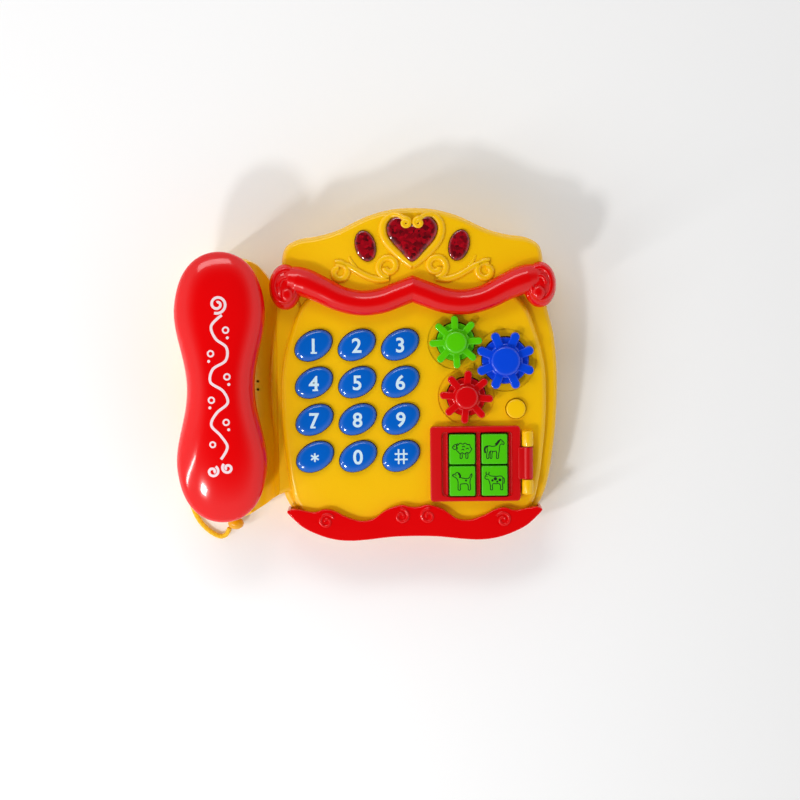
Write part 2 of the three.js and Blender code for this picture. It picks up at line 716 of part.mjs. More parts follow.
function hookParts() {
  const top = capBottom - gap;
  const collar = top - 7;
  const stem = rod(plunger.radius, collar - 1.5, top, 0, 0, 14);
  const rim = rod(plunger.radius + 1.6, collar - 1.5, collar, 0, 0, 14);
  const coilTop = collar - 1.5 - gap;
  const ring = [
    new THREE.Vector2(2, 0), new THREE.Vector2(3, 0), new THREE.Vector2(3, 5), new THREE.Vector2(2, 5),
    new THREE.Vector2(2, 0),
  ];
  const coil = new THREE.LatheGeometry(ring, 14).rotateX(Math.PI / 2).translate(0, 0, coilTop - 5);
  return { button: stem.add(rim), coil: solidOf(coil) };
}

const hook = hookParts();
place(deck, 'hook_plunger', hook.button, red, handsetAt.x, handsetAt.y + plunger.offset);
place(deck, 'hook_spring', hook.coil, steel, handsetAt.x, handsetAt.y + plunger.offset);

// The membrane and the board reach further forward under the animal keys.
const padSides = { left: keyColumns[0] - 14, step: animalColumns[0] - 14, right: animalColumns[1] + 13 };
const padEnds = { back: 30, middle: -64, front: -77 };
const padLoop = [
  new THREE.Vector2(padSides.left, padEnds.middle), new THREE.Vector2(padSides.step, padEnds.middle),
  new THREE.Vector2(padSides.step, padEnds.front), new THREE.Vector2(padSides.right, padEnds.front),
  new THREE.Vector2(padSides.right, padEnds.back), new THREE.Vector2(padSides.left, padEnds.back),
];
place(deck, 'key_membrane', prism(padLoop, membrane.top - membrane.thickness, membrane.top), softGrey);
place(deck, 'circuit_board', prism(padLoop, board.top - board.thickness, board.top), boardGreen);

const coneTop = cradle.top - wall - gap;
const speakerSolid = rod(speaker.radius, coneTop - 2, coneTop, 0, 0, 24)
  .add(rod(speaker.radius * 0.55, coneTop - speaker.height, coneTop - 1, 0, 0, 20));
place(deck, 'speaker', speakerSolid, darkGrey, handsetAt.x, handsetAt.y + speaker.dy);

const lampSpots = { heart: [0, 84], left: lensOvals.left, right: lensOvals.right };
Object.entries(lampSpots).forEach(([name, [x, y]]) => {
  const top = flangeTop - flangeThickness - gap;
  place(deck, `lamp_${name}`, prism(ovalLoop(0, 0, 2.5, 2.5, 0, 12), top - 6, top, 1.5, 2), ruby, x, y);
});

bossSpots.forEach(([x, y], i) => {
  const head = rod(screwHead, seam - 5.4, seam - 3 - gap, 0, 0, 12);
  const shank = rod(screwRadius, seam - 4, seam + 9, 0, 0, 10);
  place(deck, `housing_screw_${i + 1}`, head.add(shank), steel, x, y);
});

footSpots.forEach(([x, y], i) => {
  const pad = rod(footRadius, 0, footHeight - gap, 0, 0, 16);
  place(floor, `foot_${i + 1}`, pad, darkGrey, x * sideScale, y * Math.cos(slope));
});

const doorPanel = box(-door.width / 2, door.width / 2, -door.depth / 2, door.depth / 2, 0, door.thickness);
const doorScrewY = -door.depth / 2 + 5;
const doorSolid = doorPanel.subtract(rod(screwRadius + gap, -1, 5, 0, doorScrewY, 10));
place(floor, 'battery_door', doorSolid, yellow, 0, battery.y, footHeight);
const headTop = footHeight - gap;
const doorScrew = rod(screwHead, headTop - 1.3, headTop, 0, 0, 12).add(rod(screwRadius, 1, 9, 0, 0, 10));
place(floor, 'door_screw', doorScrew, steel, 0, battery.y + doorScrewY, 0);

const cellHeight = footHeight + door.thickness + gap + battery.radius;
[-1, 1].forEach((side, i) => {
  const { radius, length } = battery;
  const cell = new THREE.CylinderGeometry(radius, radius, length, 20).rotateZ(Math.PI / 2);
  const y = battery.y + 3 + side * (battery.radius + gap);
  place(floor, `battery_${i + 1}`, cell, darkGrey, 0, y, cellHeight);
});
const contact = box(-0.4, 0.4, -battery.radius * 2, battery.radius * 2, -6, 6);
place(floor, 'contact_plate', contact, steel, -battery.length / 2 - 1, battery.y + 3, cellHeight);

place(deck, 'cord_anchor', anchorSolid(), yellow);
place(floor, 'handset_cord', tube(cordPoints, cordDiameter / 2, cordSides, cordSteps), yellow);

// ---------- origin: middle of the base, on the table, without the cord ----------
phone.updateMatrixWorld(true);
const extent = new THREE.Box3();
phone.traverse((piece) => {
  if (piece.isMesh && piece.name !== 'handset_cord') extent.expandByObject(piece, true);
});
const centre = extent.getCenter(new THREE.Vector3());
phone.position.set(-centre.x, -centre.y, -extent.min.z);
phone.updateMatrixWorld(true);

export default phone;
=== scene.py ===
import json
import math

import bmesh
import bpy
from mathutils import Matrix, Vector


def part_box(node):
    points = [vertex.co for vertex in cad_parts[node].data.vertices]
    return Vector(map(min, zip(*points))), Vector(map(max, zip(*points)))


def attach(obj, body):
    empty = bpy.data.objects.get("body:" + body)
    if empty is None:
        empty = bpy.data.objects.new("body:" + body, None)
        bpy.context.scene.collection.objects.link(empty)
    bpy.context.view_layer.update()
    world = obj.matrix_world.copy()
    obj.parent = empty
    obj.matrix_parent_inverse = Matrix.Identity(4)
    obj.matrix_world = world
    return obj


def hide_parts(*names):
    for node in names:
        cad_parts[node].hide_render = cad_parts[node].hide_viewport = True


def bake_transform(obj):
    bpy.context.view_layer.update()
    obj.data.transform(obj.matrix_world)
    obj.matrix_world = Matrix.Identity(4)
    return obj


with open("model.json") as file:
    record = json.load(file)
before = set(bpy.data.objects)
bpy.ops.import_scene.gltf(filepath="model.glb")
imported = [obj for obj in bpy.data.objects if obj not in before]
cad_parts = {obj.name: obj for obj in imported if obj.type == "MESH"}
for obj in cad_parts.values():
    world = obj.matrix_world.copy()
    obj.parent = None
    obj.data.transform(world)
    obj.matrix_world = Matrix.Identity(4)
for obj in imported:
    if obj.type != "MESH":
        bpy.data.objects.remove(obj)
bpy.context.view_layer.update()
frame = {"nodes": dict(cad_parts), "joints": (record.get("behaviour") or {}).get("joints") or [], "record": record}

joints = {joint["name"]: joint for joint in frame["joints"]}

# The face of the phone is the deck: x right, y to the crown, z out of the face, in millimetres.
# The blue gear's pin fixes where the deck lies in the frame.
deck = {
    "gearSpot": (56.3, 8.9),
    "seam": -16.0,
    "wall": 2.4,
    "shoulder": -5.0,
    "gap": 0.3,
    "footHeight": 2.5,
}
faceNormal = Vector(joints["gear_blue_spin"]["axis"]).normalized()
slope = math.atan2(-faceNormal.y, faceNormal.z)
turnDeck = Matrix.Rotation(slope, 4, "X")
gearWorld = Vector(joints["gear_blue_spin"]["pos_m"])
gearOffset = Vector((*deck["gearSpot"], 0)) / 1000
deckOrigin = gearWorld - turnDeck.to_3x3() @ gearOffset
toWorld = Matrix.Translation(deckOrigin) @ turnDeck @ Matrix.Scale(0.001, 4)
levelWorld = Matrix.Translation((deckOrigin.x, deckOrigin.y, 0)) @ Matrix.Scale(0.001, 4)
levelToDeck = toWorld.inverted() @ levelWorld

stageSet = {
    "lookAt": (0.0196, -0.0158, 0.040),
    "height": 1.3,
    "lens": 95.7,
    "roll": -0.6,
    "floorSize": 6.0,
    # the room is dim overhead and lighter towards the walls
    "room": {"overhead": 0.05, "walls": 0.85, "dimFrom": 0.6, "dimTo": 0.93},
    # name: place, size, watts
    "lamps": {
        "leftStrip": ((-0.8, -0.45, 0.62), (0.04, 0.55), 3.0),
        "rearSoft": ((-0.3, 0.95, 1.0), (0.9, 0.3), 4.4),
        "frontWindow": ((-0.42, -0.62, 0.75), (0.1, 0.1), 3.0),
    },
}


def setStage():
    bpy.ops.mesh.primitive_plane_add(size=stageSet["floorSize"])
    floor = bpy.context.object
    floor.name = "floor"
    paint = bpy.data.materials.new("paleFloor")
    paint.use_nodes = True
    shader = paint.node_tree.nodes["Principled BSDF"]
    shader.inputs["Base Color"].default_value = (0.98, 0.98, 0.98, 1)
    shader.inputs["Roughness"].default_value = 0.9
    shader.inputs["Specular IOR Level"].default_value = 0.1
    floor.data.materials.append(paint)

    world = bpy.data.worlds.new("studio")
    bpy.context.scene.world = world
    world.use_nodes = True
    tree, room = world.node_tree, stageSet["room"]
    tree.nodes["Background"].inputs["Color"].default_value = (1, 1, 1, 1)
    direction = tree.nodes.new("ShaderNodeTexCoord")
    parts = tree.nodes.new("ShaderNodeSeparateXYZ")
    tree.links.new(direction.outputs["Generated"], parts.inputs["Vector"])
    glow = tree.nodes.new("ShaderNodeMapRange")
    glow.interpolation_type = "SMOOTHSTEP"
    glow.inputs["From Min"].default_value = room["dimFrom"]
    glow.inputs["From Max"].default_value = room["dimTo"]
    glow.inputs["To Min"].default_value = room["walls"]
    glow.inputs["To Max"].default_value = room["overhead"]
    tree.links.new(parts.outputs["Z"], glow.inputs["Value"])
    tree.links.new(glow.outputs["Result"], tree.nodes["Background"].inputs["Strength"])

    for name, (place, size, watts) in stageSet["lamps"].items():
        lamp = bpy.data.lights.new(name, "AREA")
        lamp.shape = "RECTANGLE"
        lamp.size, lamp.size_y = size
        lamp.energy = watts
        lampObject = bpy.data.objects.new(name, lamp)
        lampObject.location = place
        aim = Vector((0, 0, 0.03)) - Vector(place)
        lampObject.rotation_euler = aim.to_track_quat("-Z", "Y").to_euler()
        bpy.context.scene.collection.objects.link(lampObject)

    cameraData = bpy.data.cameras.new("camera")
    cameraData.lens = stageSet["lens"]
    camera = bpy.data.objects.new("camera", cameraData)
    camera.location = Vector(stageSet["lookAt"]) + Vector((0, 0, stageSet["height"]))
    camera.rotation_euler = (0, 0, math.radians(stageSet["roll"]))
    bpy.context.scene.collection.objects.link(camera)
    bpy.context.scene.camera = camera
    bpy.context.scene.view_settings.view_transform = "Standard"
    print("stage set")


setStage()


# Moulded plastic: flow marks shift the colour and gloss a little, and the mould leaves a fine grain.
def mouldedPlastic(name, colour, roughness=0.25, coat=0.4, grain=0.02, mottle=0.06, bleed=0.0, metallic=0.0):
    paint = bpy.data.materials.new(name)
    paint.use_nodes = True
    tree = paint.node_tree
    shader = tree.nodes["Principled BSDF"]
    shader.inputs["Coat Weight"].default_value = coat
    shader.inputs["Coat Roughness"].default_value = 0.06
    shader.inputs["IOR"].default_value = 1.5
    shader.inputs["Specular IOR Level"].default_value = 0.3
    shader.inputs["Metallic"].default_value = metallic
    if bleed:
        shader.inputs["Subsurface Weight"].default_value = bleed
        shader.inputs["Subsurface Radius"].default_value = (0.004, 0.0025, 0.001)
        shader.inputs["Subsurface Scale"].default_value = 0.5
    spot = tree.nodes.new("ShaderNodeTexCoord")
    broad = tree.nodes.new("ShaderNodeTexNoise")  # flow marks
    broad.inputs["Scale"].default_value = 22
    broad.inputs["Detail"].default_value = 3
    tree.links.new(spot.outputs["Object"], broad.inputs["Vector"])
    tint = tree.nodes.new("ShaderNodeMix")
    tint.data_type = "RGBA"
    tint.inputs["A"].default_value = (*[c * (1 - mottle) for c in colour], 1)
    tint.inputs["B"].default_value = (*[min(1, c * (1 + mottle)) for c in colour], 1)
    tree.links.new(broad.outputs["Fac"], tint.inputs["Factor"])
    tree.links.new(tint.outputs["Result"], shader.inputs["Base Color"])
    gloss = tree.nodes.new("ShaderNodeMapRange")
    gloss.inputs["To Min"].default_value = roughness * 0.8
    gloss.inputs["To Max"].default_value = roughness * 1.25
    tree.links.new(broad.outputs["Fac"], gloss.inputs["Value"])
    tree.links.new(gloss.outputs["Result"], shader.inputs["Roughness"])
    fine = tree.nodes.new("ShaderNodeTexNoise")  # grain of the mould
    fine.inputs["Scale"].default_value = 900
    fine.inputs["Detail"].default_value = 2
    tree.links.new(spot.outputs["Object"], fine.inputs["Vector"])
    bump = tree.nodes.new("ShaderNodeBump")
    bump.inputs["Strength"].default_value = grain
    bump.inputs["Distance"].default_value = 0.0004
    tree.links.new(fine.outputs["Fac"], bump.inputs["Height"])
    tree.links.new(bump.outputs["Normal"], shader.inputs["Normal"])
    return paint


def rubyPlastic(name):
    paint = mouldedPlastic(name, (0.5, 0.0, 0.012), 0.06, 1.0, 0.0, 0.2)
    tree = paint.node_tree
    shader = tree.nodes["Principled BSDF"]
    shader.inputs["Transmission Weight"].default_value = 0.35
    shader.inputs["IOR"].default_value = 1.49
    spot = tree.nodes.new("ShaderNodeTexCoord")
    facetGlints = tree.nodes.new("ShaderNodeTexVoronoi")  # the facets in its back, each painted a lighter or darker red as if catching the light: painted reflection
    facetGlints.inputs["Scale"].default_value = 620
    tree.links.new(spot.outputs["Object"], facetGlints.inputs["Vector"])
    shades = tree.nodes.new("ShaderNodeSeparateColor")
    tree.links.new(facetGlints.outputs["Color"], shades.inputs["Color"])
    # dark red to bright red per facet: painted reflection over the lens's own red
    tint = tree.nodes.new("ShaderNodeMix")
    tint.data_type = "RGBA"
    tint.inputs["A"].default_value = (0.12, 0.0, 0.004, 1)
    tint.inputs["B"].default_value = (0.62, 0.0, 0.012, 1)
    tree.links.new(shades.outputs["Red"], tint.inputs["Factor"])
    tree.links.new(tint.outputs["Result"], shader.inputs["Base Color"])
    return paint


def wovenCord(name, colour):
    paint = mouldedPlastic(name, colour, 0.75, 0.0, 0.3, 0.15)
    paint.node_tree.nodes["Principled BSDF"].inputs["Sheen Weight"].default_value = 0.3
    return paint


# Cell jackets: a dark body with a copper-coloured end band along x.
def bandedJacket(name, split):
    paint = mouldedPlastic(name, (0.03, 0.03, 0.04), 0.22, 0.5)
    tree = paint.node_tree
    spot = tree.nodes.new("ShaderNodeTexCoord")
    parts = tree.nodes.new("ShaderNodeSeparateXYZ")
    tree.links.new(spot.outputs["Object"], parts.inputs["Vector"])
    band = tree.nodes.new("ShaderNodeMath")
    band.operation = "GREATER_THAN"
    band.inputs[1].default_value = split
    tree.links.new(parts.outputs["X"], band.inputs[0])
    tint = tree.nodes.new("ShaderNodeMix")
    tint.data_type = "RGBA"
    tint.inputs["A"].default_value = (0.03, 0.03, 0.04, 1)
    tint.inputs["B"].default_value = (0.5, 0.2, 0.06, 1)
    tree.links.new(band.outputs["Value"], tint.inputs["Factor"])
    tree.links.new(tint.outputs["Result"], tree.nodes["Principled BSDF"].inputs["Base Color"])
    return paint


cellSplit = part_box("battery_1")[0][0] * 0.3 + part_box("battery_1")[1][0] * 0.7
finish = {
    "yellow_shell": mouldedPlastic("yellowShell", (0.94, 0.53, 0.0), 0.3, 0.3, 0.02, 0.03, 0.1),
    "yellow_button": mouldedPlastic("yellowButton", (0.96, 0.56, 0.0), 0.28, 0.35, 0.02, 0.03),
    # deeper orange than the yellow shell: painted shade from the handset that overhangs the anchor
    "yellow_anchor": mouldedPlastic("shadedYellowAnchor", (0.8, 0.36, 0.0), 0.3, 0.3),
    "red_trim": mouldedPlastic("redTrim", (0.74, 0.0, 0.001), 0.18, 0.3, 0.01),
    "red_surround": mouldedPlastic("redSurround", (0.62, 0.0, 0.002), 0.34, 0.2, 0.03),
    "red_handset": mouldedPlastic("redHandset", (0.78, 0.0, 0.001), 0.14, 0.35, 0.006),
    "red_plunger": mouldedPlastic("redPlunger", (0.65, 0.0, 0.003), 0.25),
    "ruby_lens": rubyPlastic("rubyLens"),
    "green_key": mouldedPlastic("greenKey", (0.07, 0.56, 0.0), 0.32, 0.3, 0.03, 0.04),
    "blue_key": mouldedPlastic("blueKey", (0.0, 0.115, 0.56), 0.13, 0.45, 0.006, 0.05),
    "green_gear": mouldedPlastic("greenGear", (0.09, 0.6, 0.0), 0.25, 0.4, 0.01),
    "blue_gear": mouldedPlastic("blueGear", (0.0, 0.06, 0.72), 0.25, 0.4, 0.01),
    "red_gear": mouldedPlastic("redGear", (0.66, 0.0, 0.002), 0.22, 0.5, 0.01),
    "white_pin": mouldedPlastic("whitePin", (0.75, 0.75, 0.72), 0.45, 0.0),
    "membrane_rubber": mouldedPlastic("membraneRubber", (0.5, 0.5, 0.48), 0.7, 0.0, 0.1),
    "board_laminate": mouldedPlastic("boardLaminate", (0.02, 0.2, 0.06), 0.4, 0.3),
    "speaker_cone": mouldedPlastic("speakerCone", (0.03, 0.03, 0.03), 0.7, 0.0, 0.2),
    "lamp_resin": mouldedPlastic("lampResin", (0.6, 0.02, 0.02), 0.1, 0.5),
    "foot_rubber": mouldedPlastic("footRubber", (0.03, 0.03, 0.032), 0.75, 0.0, 0.15),
    "battery_jacket": bandedJacket("batteryJacket", cellSplit),
    "cord_braid": wovenCord("cordBraid", (0.9, 0.5, 0.0)),
    "steel": mouldedPlastic("steel", (0.6, 0.6, 0.6), 0.35, 0.0, 0.05, 0.05, 0.0, 1.0),
}
# Printed inks, the lens foil, and a near-black painted shade for the gear grooves.
inkAndShade = {
    "digits": mouldedPlastic("paleInk", (0.62, 0.8, 0.9), 0.35, 0.3, 0.0, 0.02),
    "lines": mouldedPlastic("blackInk", (0.004, 0.014, 0.003), 0.5, 0.0, 0.0, 0.02),
    "ornament": mouldedPlastic("whiteInk", (0.86, 0.7, 0.74), 0.4, 0.3, 0.0, 0.02),
    # near-black: painted shade in the grooves round the gears
    "shadow": mouldedPlastic("paintedGrooveShade", (0.012, 0.01, 0.006), 0.85, 0.0),
    "foil": mouldedPlastic("facetFoil", (0.8, 0.02, 0.03), 0.25, 0.5, 0.0, 0.2, 0.0, 0.6),
}
for nodeName, node in frame["nodes"].items():  # what stays from the CAD takes its slot's finish
    slotName = next(s["material_slot"] for s in frame["record"]["subparts"] if s["node"] == nodeName)
    node.data.materials.clear()
    node.data.materials.append(finish[slotName])


# A smooth line through the points, with chord-length spans so that it doesn't overshoot.
def smoothOutline(points, perSpan=10, closed=True):
    count = len(points)
    spans = count if closed else count - 1
    line = []
    for i in range(spans):
        reach = (-1, 0, 1, 2)
        near = [points[(i + k) % count] if closed else points[min(max(i + k, 0), count - 1)] for k in reach]
        p = [Vector(q) for q in near]
        t = [0.0]
        for a, b in zip(p, p[1:]):
            t.append(t[-1] + max(math.sqrt((b - a).length), 1e-4))
        for step in range(perSpan):
            u = t[1] + (t[2] - t[1]) * step / perSpan
            level = p
            for gapCount in (1, 2, 3):  # narrows four points to one
                if gapCount == 3:
                    a, b = t[1], t[2]
                    line.append(level[0] * ((b - u) / (b - a)) + level[1] * ((u - a) / (b - a)))
                    continue
                level = [
                    level[k] * ((t[k + gapCount] - u) / (t[k + gapCount] - t[k]))
                    + level[k + 1] * ((u - t[k]) / (t[k + gapCount] - t[k]))
                    for k in range(len(level) - 1)
                ]
    if not closed:
        line.append(Vector(points[-1]))
    return line


def mirrored(half):
    return half + [(-x, y) for x, y in reversed(half) if x > 0]


def offsetLine(line, distance):
    moved = []
    for i, point in enumerate(line):
        along = (line[(i + 1) % len(line)] - line[i - 1]).normalized()
        moved.append(point + Vector((along.y, -along.x)) * distance)
    return moved


def ovalLine(x, y, longHalf, shortHalf, turn=0.0, count=56):
    c, s = math.cos(math.radians(turn)), math.sin(math.radians(turn))
    line = []
    for i in range(count):
        a, b = longHalf * math.cos(math.tau * i / count), shortHalf * math.sin(math.tau * i / count)
        line.append(Vector((x + a * c - b * s, y + a * s + b * c)))
    return line


def boxLine(x0, x1, y0, y1, radius, corner=6):
    line = []
    for quarter, (cx, cy) in enumerate([(x1, y0), (x1, y1), (x0, y1), (x0, y0)]):
        cx += -radius if cx == x1 else radius
        cy += -radius if cy == y1 else radius
        for i in range(corner + 1):
            angle = (quarter - 1 + i / corner) * math.pi / 2
            line.append(Vector((cx + radius * math.cos(angle), cy + radius * math.sin(angle))))
    return line


# A plate with the outline from low to high; its upper and lower edges can be rounded.
def plate(line, low, high, round=0.0, segments=6, lowRound=0.0):
    bm = bmesh.new()
    face = bm.faces.new([bm.verts.new((p[0], p[1], low)) for p in line])
    bm.normal_update()
    if face.normal.z > 0:
        face.normal_flip()
    raised = bmesh.ops.extrude_face_region(bm, geom=[face])["geom"]
    lifted = [v for v in raised if isinstance(v, bmesh.types.BMVert)]
    bmesh.ops.translate(bm, verts=lifted, vec=(0, 0, high - low))
    for size, z in ((round, high), (lowRound, low)):
        if size:
            rim = [e for e in bm.edges if all(abs(v.co.z - z) < 1e-5 for v in e.verts)]
            bmesh.ops.bevel(bm, geom=rim, offset=size, segments=segments, profile=0.5, affect="EDGES",
                            material=-1, clamp_overlap=False)
    bmesh.ops.recalc_face_normals(bm, faces=bm.faces)
    return bm


# An upright rim closed by a dome that rises from rimTop to top.
def dome(line, centre, low, rimTop, top, steps=9, power=2.0):
    bm = plate(line, low, rimTop)
    cap = max(bm.faces, key=lambda f: f.calc_center_median().z)
    shrunk, risen = 1.0, 0.0
    for step in range(1, steps + 1):
        angle = step / (steps + 0.35) * math.pi / 2
        scale = math.cos(angle) ** (2 / power)
        rise = math.sin(angle) ** (2 / power) * (top - rimTop)
        made = bmesh.ops.extrude_face_region(bm, geom=[cap])["geom"]
        bmesh.ops.delete(bm, geom=[cap], context="FACES_ONLY")
        cap = next(f for f in made if isinstance(f, bmesh.types.BMFace))
        factor = scale / shrunk
        bmesh.ops.scale(bm, vec=(factor, factor, 1), verts=cap.verts,
                        space=Matrix.Translation((-centre[0], -centre[1], 0)))
        bmesh.ops.translate(bm, verts=cap.verts, vec=(0, 0, rise - risen))
        shrunk, risen = scale, rise
    bmesh.ops.recalc_face_normals(bm, faces=bm.faces)
    return bm


# A profile of (radius, height) turned about an upright axis.
def turned(profile, x=0.0, y=0.0, steps=48):
    bm = bmesh.new()
    verts = [bm.verts.new((r, 0, z)) for r, z in profile]
    edges = [bm.edges.new(pair) for pair in zip(verts, verts[1:])]
    bmesh.ops.spin(bm, geom=verts + edges, cent=(0, 0, 0), axis=(0, 0, 1), angle=math.tau, steps=steps,
                   use_merge=True)
    bmesh.ops.remove_doubles(bm, verts=bm.verts, dist=1e-4)
    bmesh.ops.translate(bm, verts=bm.verts, vec=(x, y, 0))
    bmesh.ops.recalc_face_normals(bm, faces=bm.faces)
    return bm


def upright(radius, low, high, x, y, steps=40):
    return turned([(0, low), (radius, low), (radius, high), (0, high)], x, y, steps)


# A bar that lies along the deck's y.
def barAlong(radius, x, z, front, back, steps=32):
    bar = turned([(0, front), (radius, front), (radius, back), (0, back)], 0, 0, steps)
    bmesh.ops.rotate(bar, verts=bar.verts, matrix=Matrix.Rotation(-math.pi / 2, 3, "X"))
    bmesh.ops.translate(bar, verts=bar.verts, vec=(x, 0, z))
    return bar


def ball(x, y, z, rx, ry, rz, segments=48):
    bm = bmesh.new()
    bmesh.ops.create_uvsphere(bm, u_segments=segments, v_segments=segments // 2, radius=1)
    bmesh.ops.scale(bm, vec=(rx, ry, rz), verts=bm.verts)
    bmesh.ops.translate(bm, verts=bm.verts, vec=(x, y, z))
    return bm


# A round bar along points, with a radius at each point and closed ends.
def tubeAlong(points, radii, sides=16, squash=1.0):
    bm = bmesh.new()
    rings = []
    last = len(points) - 1
    for i, point in enumerate(points):
        along = (points[min(i + 1, last)] - points[max(i - 1, 0)]).normalized()
        side = along.cross(Vector((0, 0, 1)))
        side = side.normalized() if side.length > 1e-6 else Vector((1, 0, 0))
        upward = side.cross(along).normalized()
        ring = []
        for k in range(sides):
            a = math.tau * k / sides
            spot = point + side * math.cos(a) * radii[i] + upward * math.sin(a) * radii[i] * squash
            ring.append(bm.verts.new(spot))
        rings.append([bm.edges.new((ring[k], ring[(k + 1) % sides])) for k in range(sides)])
        if i:
            bmesh.ops.bridge_loops(bm, edges=rings[i - 1] + rings[i])
    for ring in (rings[0], rings[-1]):
        bmesh.ops.edgeloop_fill(bm, edges=ring)
    bmesh.ops.recalc_face_normals(bm, faces=bm.faces)
    return bm


# A flat stroke of the given width along points.
def ribbon(points, width, low, high, taper=False):
    line = [Vector(p[:2]) for p in points]
    left, right = [], []
    for i, point in enumerate(line):
        along = (line[min(i + 1, len(line) - 1)] - line[max(i - 1, 0)]).normalized()
        share = math.sin(math.pi * min(1, max(0.1, (i + 0.6) / len(line)))) if taper else 1
        half = width / 2 * max(0.35, share ** 0.5)
        left.append(point + Vector((-along.y, along.x)) * half)
        right.append(point - Vector((-along.y, along.x)) * half)
    bm = bmesh.new()
    a = [bm.verts.new((*p, low)) for p in left]
    b = [bm.verts.new((*p, low)) for p in right]
    faces = [bm.faces.new((a[i], a[i + 1], b[i + 1], b[i])) for i in range(len(line) - 1)]
    made = bmesh.ops.extrude_face_region(bm, geom=faces)["geom"]
    lifted = [v for v in made if isinstance(v, bmesh.types.BMVert)]
    bmesh.ops.translate(bm, verts=lifted, vec=(0, 0, high - low))
    bmesh.ops.recalc_face_normals(bm, faces=bm.faces)
    return bm


# Points that wind inwards from `radius` to `inner`; turns below 0 wind clockwise.
def spiral(x, y, radius, inner, turns, start, count=36):
    points = []
    for i in range(count + 1):
        share = i / count
        r = radius + (inner - radius) * share
        angle = math.radians(start) + share * turns * math.tau
        points.append((x + r * math.cos(angle), y + r * math.sin(angle)))
    return points


def joined(parts):
    whole = bmesh.new()
    for part in parts:
        mesh = bpy.data.meshes.new("part")
        part.to_mesh(mesh)
        part.free()
        whole.from_mesh(mesh)
        bpy.data.meshes.remove(mesh)
    return whole


# Joins (+), cuts (-) or keeps the common part (&) of the base with each shape in turn.
def carve(base, steps):
    kind = {"+": "UNION", "-": "DIFFERENCE", "&": "INTERSECT"}
    work = bpy.data.objects.new("work", bpy.data.meshes.new("work"))
    base.to_mesh(work.data)
    base.free()
    bpy.context.scene.collection.objects.link(work)
    helpers = []
    for sign, shape in steps:
        helper = bpy.data.objects.new("helper", bpy.data.meshes.new("helper"))
        shape.to_mesh(helper.data)
        shape.free()
        bpy.context.scene.collection.objects.link(helper)
        modifier = work.modifiers.new("carve", "BOOLEAN")
        modifier.solver = "MANIFOLD"
        modifier.operation = kind[sign]
        modifier.object = helper
        helpers.append(helper)
    bpy.context.view_layer.update()
    result = bpy.data.meshes.new_from_object(work.evaluated_get(bpy.context.evaluated_depsgraph_get()))
    bm = bmesh.new()
    bm.from_mesh(result)
    for item in [work, *helpers]:
        mesh = item.data
        bpy.data.objects.remove(item)
        bpy.data.meshes.remove(mesh)
    bpy.data.meshes.remove(result)
    bmesh.ops.remove_doubles(bm, verts=bm.verts, dist=2e-4)
    bmesh.ops.dissolve_degenerate(bm, edges=bm.edges, dist=2e-4)
    return bm


def addPiece(name, bm, paint, body, replaces=(), crease=38, place=toWorld):
    bmesh.ops.transform(bm, matrix=place, verts=bm.verts)
    mesh = bpy.data.meshes.new(name)
    bm.to_mesh(mesh)
    bm.free()
    mesh.polygons.foreach_set("use_smooth", [True] * len(mesh.polygons))
    mesh.set_sharp_from_angle(angle=math.radians(crease))
    piece = bpy.data.objects.new(name, mesh)
    bpy.context.scene.collection.objects.link(piece)
    mesh.materials.append(paint)
    if body:
        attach(piece, body)
    if replaces:
        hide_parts(*replaces)
    return piece


cordSet = {
    "diameter": 0.003,
    "sides": 24,
    "plait": 1900,
    "route": [
        (-116.2, -93.9, 6), (-117.1, -96.4, 4.8), (-119, -98.6, 3.2), (-121.9, -99.5, 2),
        (-125.6, -98.2, 1.7), (-129.7, -95.4, 1.7), (-133.4, -91.8, 1.7), (-136.6, -87.2, 1.7),
        (-139.4, -80.6, 1.7), (-141, -71.5, 1.7), (-141.4, -60, 2.2), (-140.7, -49.5, 5),
        (-139.5, -43, 10), (-138.4, -40.8, 15.4), (-137.8, -39.9, 20.6), (-137.6, -39.6, 25.6),
    ],
}


# The cord lies loose in front of the cradle.
def makeCord():
    path = [levelWorld @ p for p in smoothOutline(cordSet["route"], 10, closed=False)]
    radius = cordSet["diameter"] / 2
    fine = [path[0]]
    for a, b in zip(path, path[1:]):
        fine += [a.lerp(b, 0.5), b]
    sides = cordSet["sides"]
    bm = tubeAlong(fine, [radius] * len(fine), sides)
    bm.verts.ensure_lookup_table()
    travelled = 0.0
    for i, point in enumerate(fine):  # two families of strands cross
        travelled += (point - fine[i - 1]).length if i else 0
        for k in range(sides):
            vert = bm.verts[i * sides + k]
            around = 3 * math.tau * k / sides
            climb = travelled * cordSet["plait"]
            wave = max(math.sin(around + climb), math.sin(around - climb))
            vert.co += (vert.co - point).normalized() * radius * 0.16 * (wave - 0.75)
    cord = addPiece("cord", bm, finish["cord_braid"], None, ["handset_cord"], 80,
                    Matrix.Identity(4))
    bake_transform(cord)


makeCord()

